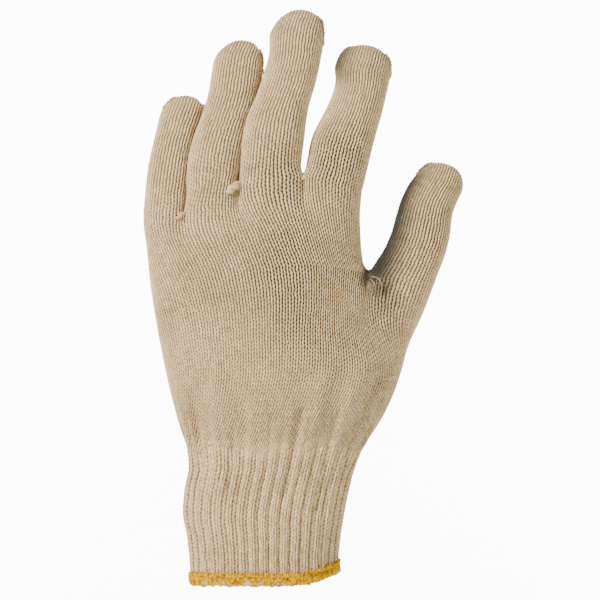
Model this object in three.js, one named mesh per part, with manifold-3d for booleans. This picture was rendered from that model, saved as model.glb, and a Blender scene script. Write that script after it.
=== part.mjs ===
import * as THREE from 'three';
import { mergeVertices } from 'three/addons/utils/BufferGeometryUtils.js';
import Module from 'manifold-3d';

// Cotton work glove, a left hand seen from its back, fingers up and thumb at +X.
// Lengths are in millimetres. The origin is the centre of the cuff's mouth.

// Overall sizes
const CUFF_WIDTH = 64.6;
const CUFF_DEPTH = 43;
const CUFF_LENGTH = 60.6;
const PALM_WIDTH = 96;
const PALM_DEPTH = 34;
const PALM_LENGTH = 118;
const LITTLE_LENGTH = 55;
const LITTLE_WIDTH = 18.4;
const RING_LENGTH = 71.2;
const RING_WIDTH = 22;
const MIDDLE_LENGTH = 75;
const MIDDLE_WIDTH = 24.4;
const INDEX_LENGTH = 61.5;
const INDEX_WIDTH = 25;
const THUMB_LENGTH = 59.4;
const THUMB_WIDTH = 25.6;

// Cloth, ribs, hem and clearance
const WALL = 2;
const GAP = 0.3;
const RIB_COUNT = 38;
const RIB_DEPTH = 0.9;
const HEM_HEIGHT = 4.4;
const HEM_WALL = 1;
const HEM_LIFT = 6;

// Roundness of the tubes: depth as a share of width, and how far the tips curl to the palm side
const FINGER_DEPTH_SHARE = 0.9;
const CURL = 8;
const OVAL_POWER = 2.3;

// Facets round each tube
const BODY_SIDES = 52;
const BODY_LINING_SIDES = 26;
const FINGER_SIDES = 18;
const LINING_SIDES = 12;
const HEM_SIDES = 38;
const POINTS_PER_RIB = 4;

// Colours of the cotton string and of the overlock thread
const COTTON_COLOR = 0xd8c5a4;
const COTTON_SHADE_COLOR = 0xcfbb98;
const CUFF_COLOR = 0xd3bf9c;
const HEM_COLOR = 0xd9a637;

// Cuff sections from the mouth up to the wrist: height in shares of the cuff's length,
// edges in shares of its width, depth in shares of its depth, rib as a share of the rib depth
const CUFF_ROWS = [
  { height: 0, left: -0.5, right: 0.5, depth: 0.97, rib: 0.3, lift: 1 },
  { height: 0.09, left: -0.5, right: 0.5, depth: 0.97, rib: 0.5, lift: 0.9 },
  { height: 0.19, left: -0.502, right: 0.5, depth: 0.98, rib: 1, lift: 0.5 },
  { height: 0.35, left: -0.518, right: 0.514, depth: 1, rib: 1, lift: 0.2 },
  { height: 0.52, left: -0.546, right: 0.535, depth: 1.02, rib: 1, lift: 0 },
  { height: 0.7, left: -0.534, right: 0.57, depth: 1.02, rib: 1, lift: 0 },
  { height: 0.86, left: -0.508, right: 0.612, depth: 1, rib: 0.8, lift: 0 },
  { height: 1, left: -0.522, right: 0.662, depth: 0.99, rib: 0.3, lift: 0 },
];

// Hand sections above the wrist: height in shares of the palm's length, edges in shares of
// its width, depth in shares of its depth, how far the thumb side swings back and how much
// of the knuckle line's rise the section follows
const PALM_ROWS = [
  { height: 0.059, left: -0.377, right: 0.5, depth: 1.22, swing: 0.06, crown: 0 },
  { height: 0.11, left: -0.396, right: 0.536, depth: 1.2, swing: 0.1, crown: 0 },
  { height: 0.169, left: -0.416, right: 0.572, depth: 1.17, swing: 0.15, crown: 0 },
  { height: 0.243, left: -0.436, right: 0.602, depth: 1.13, swing: 0.2, crown: 0 },
  { height: 0.316, left: -0.457, right: 0.633, depth: 1.08, swing: 0.24, crown: 0 },
  { height: 0.397, left: -0.475, right: 0.668, depth: 1.03, swing: 0.28, crown: 0.02 },
  { height: 0.474, left: -0.494, right: 0.69, depth: 0.99, swing: 0.3, crown: 0.08 },
  { height: 0.529, left: -0.507, right: 0.655, depth: 0.96, swing: 0.3, crown: 0.16 },
  { height: 0.592, left: -0.517, right: 0.476, depth: 0.93, swing: 0.2, crown: 0.3 },
  { height: 0.647, left: -0.523, right: 0.443, depth: 0.91, swing: 0.17, crown: 0.45 },
  { height: 0.7, left: -0.531, right: 0.436, depth: 0.88, swing: 0.16, crown: 0.65 },
  { height: 0.745, left: -0.543, right: 0.432, depth: 0.84, swing: 0.16, crown: 0.85 },
  { height: 0.785, left: -0.548, right: 0.43, depth: 0.77, swing: 0.16, crown: 1 },
  { height: 0.812, left: -0.54, right: 0.41, depth: 0.58, swing: 0.16, crown: 1 },
  { height: 0.828, left: -0.5, right: 0.385, depth: 0.28, swing: 0.16, crown: 1 },
];

// Knuckle line: place across the palm, rise in shares of the palm's length
const KNUCKLE_LINE = [
  { across: 0, rise: 0 },
  { across: 0.19, rise: 0.018 },
  { across: 0.43, rise: 0.129 },
  { across: 0.735, rise: 0.176 },
  { across: 1, rise: 0.118 },
];

// Where the finger tubes part from the palm: across in shares of the palm's width from the
// centre line, height in shares of the palm's length
const FINGER_ROOT_LINE = [
  { across: -0.8, height: 0.815 },
  { across: -0.552, height: 0.824 },
  { across: -0.368, height: 0.842 },
  { across: -0.124, height: 0.952 },
  { across: 0.174, height: 1 },
  { across: 0.45, height: 0.955 },
];
const THUMB_CROTCH = { across: 0.472, height: 0.634 };
const THUMB_ROOT_END = { across: 0.78, height: 0.588 };
const THUMB_SLOT_TOP = { across: 0.588, height: 1.42 };

// Soft folds on the back of the hand near the wrist: ends as for the root line, width and
// height in shares of the palm's depth
const FOLDS = [
  { x1: 0.15, z1: 0.04, x2: 0.3, z2: 0.22, width: 0.12, height: 0.035 },
  { x1: 0.28, z1: 0.03, x2: 0.46, z2: 0.24, width: 0.12, height: 0.04 },
  { x1: 0.22, z1: 0.02, x2: 0.4, z2: 0.24, width: 0.09, height: -0.04 },
  { x1: -0.18, z1: 0.02, x2: -0.2, z2: 0.3, width: 0.14, height: 0.04 },
  { x1: -0.3, z1: 0.02, x2: -0.3, z2: 0.24, width: 0.12, height: -0.035 },
  { x1: 0.36, z1: 0.5, x2: 0.5, z2: 0.6, width: 0.16, height: 0.05 },
];

// Tube sections from the buried root to the tip: along in shares of the finger's length,
// middle, width and curl in shares of its width, of its width and of the tips' curl
const LITTLE_ROWS = [
  { along: -0.35, middle: 0.28, width: 0.6, curl: 0 },
  { along: -0.15, middle: 0.04, width: 0.9, curl: 0 },
  { along: 0, middle: -0.04, width: 0.98, curl: 0 },
  { along: 0.15, middle: -0.055, width: 1.0, curl: 0.02 },
  { along: 0.35, middle: -0.085, width: 1.0, curl: 0.1 },
  { along: 0.55, middle: -0.085, width: 0.97, curl: 0.25 },
  { along: 0.7, middle: -0.05, width: 0.98, curl: 0.45 },
  { along: 0.8, middle: -0.02, width: 1.02, curl: 0.62 },
  { along: 0.88, middle: 0.02, width: 0.97, curl: 0.78 },
  { along: 0.94, middle: 0.06, width: 0.82, curl: 0.88 },
  { along: 0.98, middle: 0.08, width: 0.56, curl: 0.96 },
  { along: 1, middle: 0.08, width: 0.24, curl: 1 },
];
const RING_ROWS = [
  { along: -0.4, middle: 0.01, width: 0.86, curl: 0 },
  { along: 0, middle: 0.0, width: 0.98, curl: 0 },
  { along: 0.1, middle: -0.03, width: 1.03, curl: 0.01 },
  { along: 0.22, middle: -0.05, width: 1.06, curl: 0.04 },
  { along: 0.35, middle: -0.04, width: 1.03, curl: 0.1 },
  { along: 0.5, middle: 0.02, width: 0.98, curl: 0.22 },
  { along: 0.65, middle: 0.07, width: 0.985, curl: 0.4 },
  { along: 0.8, middle: 0.06, width: 0.99, curl: 0.64 },
  { along: 0.88, middle: 0.05, width: 0.96, curl: 0.78 },
  { along: 0.94, middle: 0.085, width: 0.76, curl: 0.89 },
  { along: 0.98, middle: 0.12, width: 0.5, curl: 0.96 },
  { along: 1, middle: 0.12, width: 0.22, curl: 1 },
];
const MIDDLE_ROWS = [
  { along: -0.4, middle: 0.01, width: 0.92, curl: 0 },
  { along: 0, middle: 0.01, width: 1.07, curl: 0 },
  { along: 0.1, middle: -0.035, width: 1.07, curl: 0.01 },
  { along: 0.25, middle: -0.06, width: 1.08, curl: 0.04 },
  { along: 0.35, middle: -0.05, width: 1.03, curl: 0.1 },
  { along: 0.45, middle: -0.01, width: 0.95, curl: 0.17 },
  { along: 0.6, middle: 0.055, width: 0.93, curl: 0.34 },
  { along: 0.72, middle: 0.08, width: 0.91, curl: 0.5 },
  { along: 0.82, middle: 0.06, width: 0.96, curl: 0.68 },
  { along: 0.89, middle: 0.065, width: 0.96, curl: 0.8 },
  { along: 0.945, middle: 0.085, width: 0.82, curl: 0.9 },
  { along: 0.98, middle: 0.11, width: 0.55, curl: 0.97 },
  { along: 1, middle: 0.12, width: 0.26, curl: 1 },
];
const INDEX_ROWS = [
  { along: -0.45, middle: -0.1, width: 0.7, curl: 0 },
  { along: -0.2, middle: -0.03, width: 0.93, curl: 0 },
  { along: 0, middle: 0.01, width: 1.03, curl: 0 },
  { along: 0.12, middle: 0.0, width: 1.05, curl: 0.01 },
  { along: 0.28, middle: -0.005, width: 1.05, curl: 0.06 },
  { along: 0.42, middle: 0.04, width: 0.98, curl: 0.15 },
  { along: 0.56, middle: 0.085, width: 0.92, curl: 0.28 },
  { along: 0.7, middle: 0.09, width: 0.91, curl: 0.46 },
  { along: 0.8, middle: 0.055, width: 0.97, curl: 0.62 },
  { along: 0.88, middle: 0.065, width: 0.89, curl: 0.78 },
  { along: 0.94, middle: 0.08, width: 0.69, curl: 0.89 },
  { along: 0.98, middle: 0.08, width: 0.42, curl: 0.96 },
  { along: 1, middle: 0.08, width: 0.2, curl: 1 },
];
const THUMB_ROWS = [
  { along: -0.7, middle: -0.45, width: 0.6, curl: 0 },
  { along: -0.45, middle: -0.24, width: 0.86, curl: 0 },
  { along: -0.25, middle: -0.04, width: 1.04, curl: 0 },
  { along: -0.1, middle: -0.02, width: 1.09, curl: 0 },
  { along: 0.02, middle: 0.015, width: 1.07, curl: 0 },
  { along: 0.2, middle: 0.053, width: 1.01, curl: 0.06 },
  { along: 0.38, middle: 0.082, width: 0.98, curl: 0.16 },
  { along: 0.52, middle: 0.06, width: 0.96, curl: 0.28 },
  { along: 0.65, middle: 0.03, width: 0.9, curl: 0.42 },
  { along: 0.77, middle: 0.06, width: 0.87, curl: 0.6 },
  { along: 0.87, middle: 0.11, width: 0.81, curl: 0.76 },
  { along: 0.94, middle: 0.14, width: 0.65, curl: 0.89 },
  { along: 0.98, middle: 0.14, width: 0.43, curl: 0.96 },
  { along: 1, middle: 0.14, width: 0.2, curl: 1 },
];

// Tubes: root in shares of the palm's width, length and depth, lean from upright in degrees
const FINGERS = {
  little: {
    across: -0.45, height: 0.835, back: 0.09, lean: 9.1, curl: 0.8,
    length: LITTLE_LENGTH, width: LITTLE_WIDTH, rows: LITTLE_ROWS,
  },
  ring: {
    across: -0.242, height: 0.904, back: 0, lean: 10.2, curl: 0.7,
    length: RING_LENGTH, width: RING_WIDTH, rows: RING_ROWS,
  },
  middle: {
    across: 0.025, height: 0.978, back: -0.11, lean: 9.4, curl: 0.4,
    length: MIDDLE_LENGTH, width: MIDDLE_WIDTH, rows: MIDDLE_ROWS,
  },
  index: {
    across: 0.31, height: 0.971, back: -0.01, lean: 13.4, curl: 0.6,
    length: INDEX_LENGTH, width: INDEX_WIDTH, rows: INDEX_ROWS,
  },
  thumb: {
    across: 0.604, height: 0.574, back: 0.12, lean: 18.3, curl: 1.1,
    length: THUMB_LENGTH, width: THUMB_WIDTH, rows: THUMB_ROWS,
  },
};

// How far the little finger's edge and the middle of the hand stand to the back, in shares of
// the palm's depth, and the number of palm sections over which that bend grows
const LITTLE_EDGE_SWING = 0.2;
const MIDDLE_SWING = -0.06;
const BEND_ROWS = 5;

// Place across the mouth, from 0 in the middle to 1 at the edge, where its rise begins
const HEM_LIFT_START = 0.1;

// Lengths that reach past the glove in the cuts
const REACH = 3 * PALM_WIDTH;
const SIDE_REACH = PALM_WIDTH / 2;

// Steps along an oval for each of its sides, from which even sides are measured
const OVAL_STEPS = 8;

const COTTON_ROUGHNESS = 0.95;
const THREAD_ROUGHNESS = 0.9;

const wasm = await Module();
wasm.setup();

// Solids and cuts
function toManifold(geometry) {
  const plain = geometry.clone();
  plain.deleteAttribute('normal');
  plain.deleteAttribute('uv');
  const merged = mergeVertices(plain, 1e-4);
  const mesh = new wasm.Mesh({
    numProp: 3,
    vertProperties: new Float32Array(merged.attributes.position.array),
    triVerts: new Uint32Array(merged.index.array),
  });
  return new wasm.Manifold(mesh);
}

function toGeometry(manifold) {
  const mesh = manifold.getMesh();
  const geometry = new THREE.BufferGeometry();
  const position = new THREE.Float32BufferAttribute(mesh.vertProperties, mesh.numProp);
  geometry.setAttribute('position', position);
  geometry.setIndex(new THREE.Uint32BufferAttribute(mesh.triVerts, 1));
  const faceted = geometry.toNonIndexed();
  faceted.computeVertexNormals();
  return faceted;
}

function join(solids) {
  return solids.reduce((sum, solid) => sum.add(solid));
}

// Closed solid through a stack of rings with the same even number of points, lowest ring
// first; its two ends are closed by strips from the front edge to the back edge
function loft(rings) {
  const sides = rings[0].length;
  const points = rings.flat();
  const faces = [];
  for (let level = 0; level + 1 < rings.length; level += 1) {
    for (let side = 0; side < sides; side += 1) {
      const next = (side + 1) % sides;
      const low = level * sides;
      const high = low + sides;
      faces.push(low + side, low + next, high + next);
      faces.push(low + side, high + next, high + side);
    }
  }
  const top = points.length - sides;
  for (let side = 0; side < sides / 2; side += 1) {
    const next = side + 1;
    const across = sides - next;
    const back = (sides - side) % sides;
    if (next !== across) {
      faces.push(across, next, side, top + side, top + next, top + across);
    }
    if (back !== side) {
      faces.push(back, across, side, top + side, top + across, top + back);
    }
  }
  const geometry = new THREE.BufferGeometry();
  const flat = points.flatMap((point) => [point.x, point.y, point.z]);
  geometry.setAttribute('position', new THREE.Float32BufferAttribute(flat, 3));
  geometry.setIndex(faces);
  return toManifold(geometry);
}

// Upright prism through the whole depth of the glove, from corners in the XZ plane
function prism(corners) {
  const shape = new THREE.Shape(corners.map(([x, z]) => new THREE.Vector2(x, z)));
  const geometry = new THREE.ExtrudeGeometry(shape, { depth: REACH, bevelEnabled: false });
  geometry.rotateX(Math.PI / 2);
  geometry.translate(0, REACH / 2, 0);
  return toManifold(geometry);
}

// Value of one column of a table at a place in another column
function lookUp(rows, key, place, column) {
  if (place <= rows[0][key]) {
    return rows[0][column];
  }
  for (let index = 1; index < rows.length; index += 1) {
    const before = rows[index - 1];
    const after = rows[index];
    if (place <= after[key]) {
      const share = (place - before[key]) / (after[key] - before[key]);
      const eased = share * share * (3 - 2 * share);
      return before[column] + (after[column] - before[column]) * eased;
    }
  }
  return rows[rows.length - 1][column];
}

// Points of a rounded oval, evenly spaced along its edge, starting at its +X end and going
// round by the back of the glove
function ovalPoints(halfWidth, halfDepth, sides) {
  const steps = sides * OVAL_STEPS;
  const outline = [];
  for (let step = 0; step <= steps; step += 1) {
    const angle = (2 * Math.PI * step) / steps;
    const cos = Math.cos(angle);
    const sin = Math.sin(angle);
    const x = Math.sign(cos) * Math.abs(cos) ** (2 / OVAL_POWER) * halfWidth;
    const y = Math.sign(sin) * Math.abs(sin) ** (2 / OVAL_POWER) * halfDepth;
    outline.push(new THREE.Vector2(x, y));
  }
  const lengths = [0];
  for (let step = 1; step <= steps; step += 1) {
    lengths.push(lengths[step - 1] + outline[step].distanceTo(outline[step - 1]));
  }
  const total = lengths[steps];
  const points = [];
  let step = 1;
  for (let side = 0; side < sides; side += 1) {
    const target = (total * side) / sides;
    while (lengths[step] < target) {
      step += 1;
    }
    const share = (target - lengths[step - 1]) / (lengths[step] - lengths[step - 1]);
    points.push(outline[step - 1].clone().lerp(outline[step], share));
  }
  return points;
}

// Cuff sections in millimetres
function cuffSection(row) {
  return {
    z: row.height * CUFF_LENGTH,
    left: row.left * CUFF_WIDTH,
    right: row.right * CUFF_WIDTH,
    halfDepth: (row.depth * CUFF_DEPTH) / 2,
    rib: row.rib * RIB_DEPTH,
    lift: row.lift * HEM_LIFT,
  };
}

// The mouth rises towards the thumb side
function mouthLift(across) {
  const share = Math.max(0, across - HEM_LIFT_START) / (1 - HEM_LIFT_START);
  return share * share;
}

function cuffRing(section, inset, sides, ribbed) {
  const middle = (section.left + section.right) / 2;
  const half = (section.right - section.left) / 2;
  const oval = ovalPoints(half - inset, section.halfDepth - inset, sides);
  return oval.map((point, index) => {
    const wave = Math.cos((2 * Math.PI * index) / POINTS_PER_RIB) - 1;
    const swell = ribbed ? (section.rib * wave) / 2 : 0;
    const across = point.x / half;
    const outward = point.clone().normalize().multiplyScalar(swell);
    const z = section.z + section.lift * mouthLift(across);
    return new THREE.Vector3(middle + point.x + outward.x, point.y + outward.y, z);
  });
}

// Palm sections in millimetres
function palmSection(row) {
  return {
    z: CUFF_LENGTH + row.height * PALM_LENGTH,
    left: row.left * PALM_WIDTH,
    right: row.right * PALM_WIDTH,
    halfDepth: (row.depth * PALM_DEPTH) / 2,
    swing: row.swing * PALM_DEPTH,
    crown: row.crown * PALM_LENGTH,
  };
}

function foldHeight(x, z) {
  let height = 0;
  for (const fold of FOLDS) {
    const start = new THREE.Vector2(fold.x1 * PALM_WIDTH, CUFF_LENGTH + fold.z1 * PALM_LENGTH);
    const end = new THREE.Vector2(fold.x2 * PALM_WIDTH, CUFF_LENGTH + fold.z2 * PALM_LENGTH);
    const run = end.clone().sub(start);
    const point = new THREE.Vector2(x, z).sub(start);
    const share = Math.min(1, Math.max(0, point.dot(run) / run.lengthSq()));
    const away = point.distanceTo(run.multiplyScalar(share)) / (fold.width * PALM_DEPTH);
    height += fold.height * PALM_DEPTH * Math.exp(-away * away);
  }
  return height;
}

function palmRing(section, inset, sides, folded) {
  const middle = (section.left + section.right) / 2;
  const half = (section.right - section.left) / 2;
  const oval = ovalPoints(half - inset, Math.max(section.halfDepth - inset, inset / 2), sides);
  return oval.map((point) => {
    const share = point.x / half;
    const x = middle + point.x;
    const edge = share > 0 ? section.swing : LITTLE_EDGE_SWING * PALM_DEPTH * section.bend;
    const swing = edge * share * share + MIDDLE_SWING * PALM_DEPTH * section.bend;
    const rise = lookUp(KNUCKLE_LINE, 'across', (share + 1) / 2, 'rise');
    const z = section.z + section.crown * rise;
    const fold = folded && point.y < 0 ? foldHeight(x, z) : 0;
    return new THREE.Vector3(x, point.y + swing - fold, z);
  });
}

// The body: the wrist section, then the palm's own sections; between the fingers the lining
// stops two walls lower
function bodySolid(inset, sides, bottom) {
  const wrist = { ...cuffSection(CUFF_ROWS[CUFF_ROWS.length - 1]), swing: 0, crown: 0, bend: 0 };
  const rings = [{ ...wrist, z: wrist.z - bottom }, wrist];
  PALM_ROWS.forEach((row, index) => {
    const bend = Math.min(1, (index + 1) / BEND_ROWS);
    const section = { ...palmSection(row), bend };
    rings.push({ ...section, z: section.z - 2 * inset * row.crown });
  });
  return loft(rings.map((section) => palmRing(section, inset, sides, inset === 0)));
}

// One finger tube; a positive inset shrinks it to its lining, a negative one grows it
function fingerSolid(finger, inset, sides) {
  const lean = THREE.MathUtils.degToRad(finger.lean);
  const along = new THREE.Vector3(Math.sin(lean), 0, Math.cos(lean));
  const across = new THREE.Vector3(Math.cos(lean), 0, -Math.sin(lean));
  const back = new THREE.Vector3(0, 1, 0);
  const root = new THREE.Vector3(
    finger.across * PALM_WIDTH,
    finger.back * PALM_DEPTH,
    CUFF_LENGTH + finger.height * PALM_LENGTH,
  );
  const slimmer = 1 - (2 * inset) / finger.width;
  const flatter = 1 - (2 * inset) / (finger.width * FINGER_DEPTH_SHARE);
  const rings = finger.rows.map((row) => {
    const halfWidth = (row.width * finger.width * slimmer) / 2;
    const halfDepth = (row.width * finger.width * FINGER_DEPTH_SHARE * flatter) / 2;
    const reach = row.along * (finger.length - inset);
    const centre = root.clone().addScaledVector(along, reach);
    centre.addScaledVector(across, row.middle * finger.width);
    centre.addScaledVector(back, row.curl * finger.curl * CURL);
    return ovalPoints(halfWidth, halfDepth, sides).map((point) => (
      centre.clone().addScaledVector(across, point.x).addScaledVector(back, point.y)
    ));
  });
  return loft(rings);
}

function place(mark, lift) {
  return [mark.across * PALM_WIDTH, CUFF_LENGTH + mark.height * PALM_LENGTH + lift];
}

// Regions that part the knitted tubes from the palm, half a gap on each side of the line
function fingerRegion() {
  const line = FINGER_ROOT_LINE.map((mark) => place(mark, GAP / 2));
  const end = line[line.length - 1];
  const side = end[0] + SIDE_REACH;
  const corners = [...line, [side, end[1]], [side, REACH], [line[0][0], REACH]];
  return prism(corners);
}

function thumbRegion(shift) {
  const [crotchX, crotchZ] = place(THUMB_CROTCH, shift);
  const [endX, endZ] = place(THUMB_ROOT_END, shift);
  const [topX, topZ] = place(THUMB_SLOT_TOP, 0);
  return prism([[crotchX + shift, crotchZ], [endX, endZ], [REACH, endZ], [REACH, topZ],
    [topX + shift, topZ]]);
}

function palmRegion() {
  const line = FINGER_ROOT_LINE.map((mark) => place(mark, -GAP / 2)).reverse();
  const bottom = CUFF_LENGTH + GAP / 2;
  const floor = [[-REACH, bottom], [REACH, bottom], [REACH, line[0][1]]];
  return prism([...floor, ...line, [-REACH, line[line.length - 1][1]]]);
}

// Knitted hand: every tube joined to the body, hollowed by every lining
const tubes = {};
const linings = {};
for (const [name, finger] of Object.entries(FINGERS)) {
  tubes[name] = fingerSolid(finger, 0, FINGER_SIDES);
  linings[name] = fingerSolid(finger, WALL, LINING_SIDES);
}
const body = bodySolid(0, BODY_SIDES, 0);
const bodyLining = bodySolid(WALL, BODY_LINING_SIDES, WALL);
const hand = join([body, ...Object.values(tubes)]);
const hollow = join([bodyLining, ...Object.values(linings)]);
const palm = hand.subtract(hollow).intersect(palmRegion()).subtract(thumbRegion(-GAP / 2));

// A finger gives way to the neighbour that presses on it
function fingerPiece(name, neighbour) {
  const shell = tubes[name].subtract(linings[name]).intersect(fingerRegion());
  if (!neighbour) {
    return shell;
  }
  return shell.subtract(fingerSolid(FINGERS[neighbour], -GAP, FINGER_SIDES));
}
const thumb = tubes.thumb.subtract(linings.thumb).intersect(thumbRegion(GAP / 2));

// Cuff: ribbed outside, plain lining; its lower edge stands inside the hem
const hemFloor = HEM_WALL + GAP;
const cuffSections = CUFF_ROWS.map(cuffSection);
const cuffTop = cuffSections.length - 1;
function cuffRings(inset, sides, ribbed, bottomZ, topZ) {
  return cuffSections.map((section, index) => {
    let z = section.z;
    if (index === 0) {
      z = bottomZ;
    } else if (index === cuffTop) {
      z = topZ;
    }
    return cuffRing({ ...section, z }, inset, sides, ribbed);
  });
}
const ribSides = RIB_COUNT * POINTS_PER_RIB;
const cuffShell = loft(cuffRings(0, ribSides, true, hemFloor, CUFF_LENGTH - GAP / 2));
const cuffLining = loft(cuffRings(WALL, RIB_COUNT, false, -WALL, CUFF_LENGTH + WALL));
const cuff = cuffShell.subtract(cuffLining);

// Hem: a channel of thread that clasps the cuff's edge from both sides
function hemBand(inset, bottomZ, topZ) {
  const low = { ...cuffSections[0], z: bottomZ };
  const high = { ...cuffSections[0], z: topZ };
  return loft([low, high].map((section) => cuffRing(section, inset, HEM_SIDES, false)));
}
const hemOuter = hemBand(-(GAP + HEM_WALL), 0, HEM_HEIGHT);
const hemSlot = hemBand(-GAP, HEM_WALL, HEM_HEIGHT + HEM_WALL)
  .subtract(hemBand(WALL + GAP, -WALL, HEM_HEIGHT + WALL * 2));
const hem = hemOuter.subtract(hemBand(WALL + GAP + HEM_WALL, -WALL, HEM_HEIGHT + WALL))
  .subtract(hemSlot);

function piece(name, manifold, color, roughness) {
  const material = new THREE.MeshStandardMaterial({ color, roughness, metalness: 0 });
  const mesh = new THREE.Mesh(toGeometry(manifold), material);
  mesh.name = name;
  return mesh;
}

const glove = new THREE.Group();
glove.name = 'cotton_work_glove';
glove.add(piece('little_finger', fingerPiece('little', 'ring'), COTTON_SHADE_COLOR, COTTON_ROUGHNESS));
glove.add(piece('ring_finger', fingerPiece('ring', 'middle'), COTTON_COLOR, COTTON_ROUGHNESS));
glove.add(piece('middle_finger', fingerPiece('middle', null), COTTON_COLOR, COTTON_ROUGHNESS));
glove.add(piece('index_finger', fingerPiece('index', 'middle'), COTTON_COLOR, COTTON_ROUGHNESS));
glove.add(piece('thumb', thumb, COTTON_SHADE_COLOR, COTTON_ROUGHNESS));
glove.add(piece('palm', palm, COTTON_COLOR, COTTON_ROUGHNESS));
glove.add(piece('cuff', cuff, CUFF_COLOR, COTTON_ROUGHNESS));
glove.add(piece('hem', hem, HEM_COLOR, THREAD_ROUGHNESS));

export default glove;
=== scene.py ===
import functools
import math

import bpy
import numpy as np
from bpy.props import FloatProperty, FloatVectorProperty, PointerProperty
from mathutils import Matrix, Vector


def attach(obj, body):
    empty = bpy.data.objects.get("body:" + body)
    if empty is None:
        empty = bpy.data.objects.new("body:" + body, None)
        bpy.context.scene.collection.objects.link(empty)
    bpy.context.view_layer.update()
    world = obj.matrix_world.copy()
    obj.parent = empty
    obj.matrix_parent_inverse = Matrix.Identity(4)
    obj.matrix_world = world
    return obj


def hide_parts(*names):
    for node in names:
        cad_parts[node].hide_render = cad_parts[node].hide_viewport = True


bl_info = {
    "name": "Cotton work glove",
    "version": (1, 0, 0),
    "blender": (4, 5, 0),
    "location": "View3D > Sidebar > Glove",
    "description": "Knitted skin, ribbed cuff and overlocked hem of a cotton work glove",
    "category": "Object",
}

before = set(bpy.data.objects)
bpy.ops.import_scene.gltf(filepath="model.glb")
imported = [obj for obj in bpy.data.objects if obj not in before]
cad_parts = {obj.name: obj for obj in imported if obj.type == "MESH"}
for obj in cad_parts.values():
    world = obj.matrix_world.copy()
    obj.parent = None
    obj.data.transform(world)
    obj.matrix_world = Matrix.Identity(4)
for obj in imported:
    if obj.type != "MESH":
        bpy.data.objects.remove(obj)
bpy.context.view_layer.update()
MM = 0.001
SEEDS = {"palm": 11, "fingers": 12, "cuff": 13, "hem": 21, "ends": 31}
SHORTEST = 1e-12

# The knit: wales are the columns of stitches round a tube, courses its rows; the mesh has this
# many steps across a wale and along a course
WALE_CUTS = 6
COURSE_CUTS = 4
HAND_WALES = 100
PALM_WALES = 78
CUFF_WALES = 76
WALES_PER_RIB = 2
CUFF_COURSES = 33
HAND_COURSES = 45
PALM_COURSES = 21
KNIT_COURSES = HAND_COURSES + PALM_COURSES
OVAL_POWER = 2.3

# One leg of a stitch in shares of a wale and of a course: its length, the distance of its
# middle from the middle of the wale, how far it leans over, half its width, how much of that it
# loses where the knit is open, how blunt its ends are; the share of its height that is sunk in
# the skin, and how much flatter it is at the fingertips
LEG_LENGTH = 1.38
LEG_MIDDLE = 0.2475
LEG_LEAN = 0.2
LEG_HALF_WIDTH = 0.2
LEG_THINNING = 0.05
LEG_BLUNTNESS = 4
YARN_SUNK = 0.7
TIP_FLATNESS = 0.55

# Outline of the hand in millimetres from the origin: left and right edge at a height
LEFT_EDGE = [
    {"z": 60.6, "x": -33.7},
    {"z": 67.6, "x": -36.2},
    {"z": 80.5, "x": -39.9},
    {"z": 97.9, "x": -43.9},
    {"z": 116.5, "x": -47.4},
    {"z": 131.7, "x": -49.7},
    {"z": 147.3, "x": -51.3},
    {"z": 156.0, "x": -52.5},
    {"z": 162.5, "x": -52.6},
]
HAND_RIGHT_EDGE = [
    {"z": 60.6, "x": 42.8},
    {"z": 67.6, "x": 48.0},
    {"z": 80.5, "x": 54.9},
    {"z": 97.9, "x": 61.0},
    {"z": 107.4, "x": 64.3},
    {"z": 116.5, "x": 68.2},
    {"z": 127.0, "x": 72.3},
]
PALM_RIGHT_EDGE = [
    {"z": 135.4, "x": 45.3},
    {"z": 138.0, "x": 43.4},
    {"z": 143.4, "x": 42.3},
    {"z": 151.7, "x": 41.6},
    {"z": 161.6, "x": 41.4},
    {"z": 171.6, "x": 42.2},
]

# Thickness of the hand: half its depth, how far the thumb's side stands to the back, and how
# much of the hand's bend there is, in millimetres and as a share
HAND_DEPTH = [
    {"z": 60.6, "half": 21.3, "swing": 0.0, "bend": 0.0},
    {"z": 67.6, "half": 20.7, "swing": 2.0, "bend": 0.2},
    {"z": 80.5, "half": 19.9, "swing": 5.0, "bend": 0.6},
    {"z": 97.9, "half": 18.4, "swing": 7.2, "bend": 1.0},
    {"z": 116.5, "half": 16.9, "swing": 8.0, "bend": 1.0},
    {"z": 131.0, "half": 15.8, "swing": 6.8, "bend": 1.0},
    {"z": 148.5, "half": 14.3, "swing": 5.4, "bend": 1.0},
    {"z": 165.0, "half": 12.9, "swing": 5.4, "bend": 1.0},
    {"z": 180.0, "half": 12.4, "swing": 5.4, "bend": 1.0},
]

# The palm's middle surface in millimetres: how far its middle stands to the front and both its
# edges to the back, the outer end of the thumb's root too, and where along the thumb that is
MIDDLE_TO_FRONT = 2.0
LITTLE_EDGE_TO_BACK = 6.8
PALM_SWING = 5.4
THUMB_TO_BACK = 1.0
THUMB_ROOT_ALONG = -0.1

# Sections by which the wales are spaced: a course's height and the width at the wrist, which
# grows by a millimetre a course, and the depth over the width of the palm and of the cuff
COURSE_HEIGHT = 1.6
WRIST_WIDTH = 80
PALM_ASPECT = 0.33
CUFF_ASPECT = 0.64
PALM_WEB = (0, 1)

# Courses at which the hand begins to part into palm and thumb, in outline and in depth, and the
# palm into fingers; courses over which a web opens, a finger's root narrows and its curl begins;
# how much deeper the root is, and the palm's lobe below it
PARTING_START = 22
DEPTH_PARTING_START = 33
FINGER_PARTING_START = 8
WEB_COURSES = 6
ROOT_SWELL_COURSES = 9
ROOT_SWELL = 0.06
LOBE_SWELL = 1.06
CURL_COURSES = 12

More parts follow.
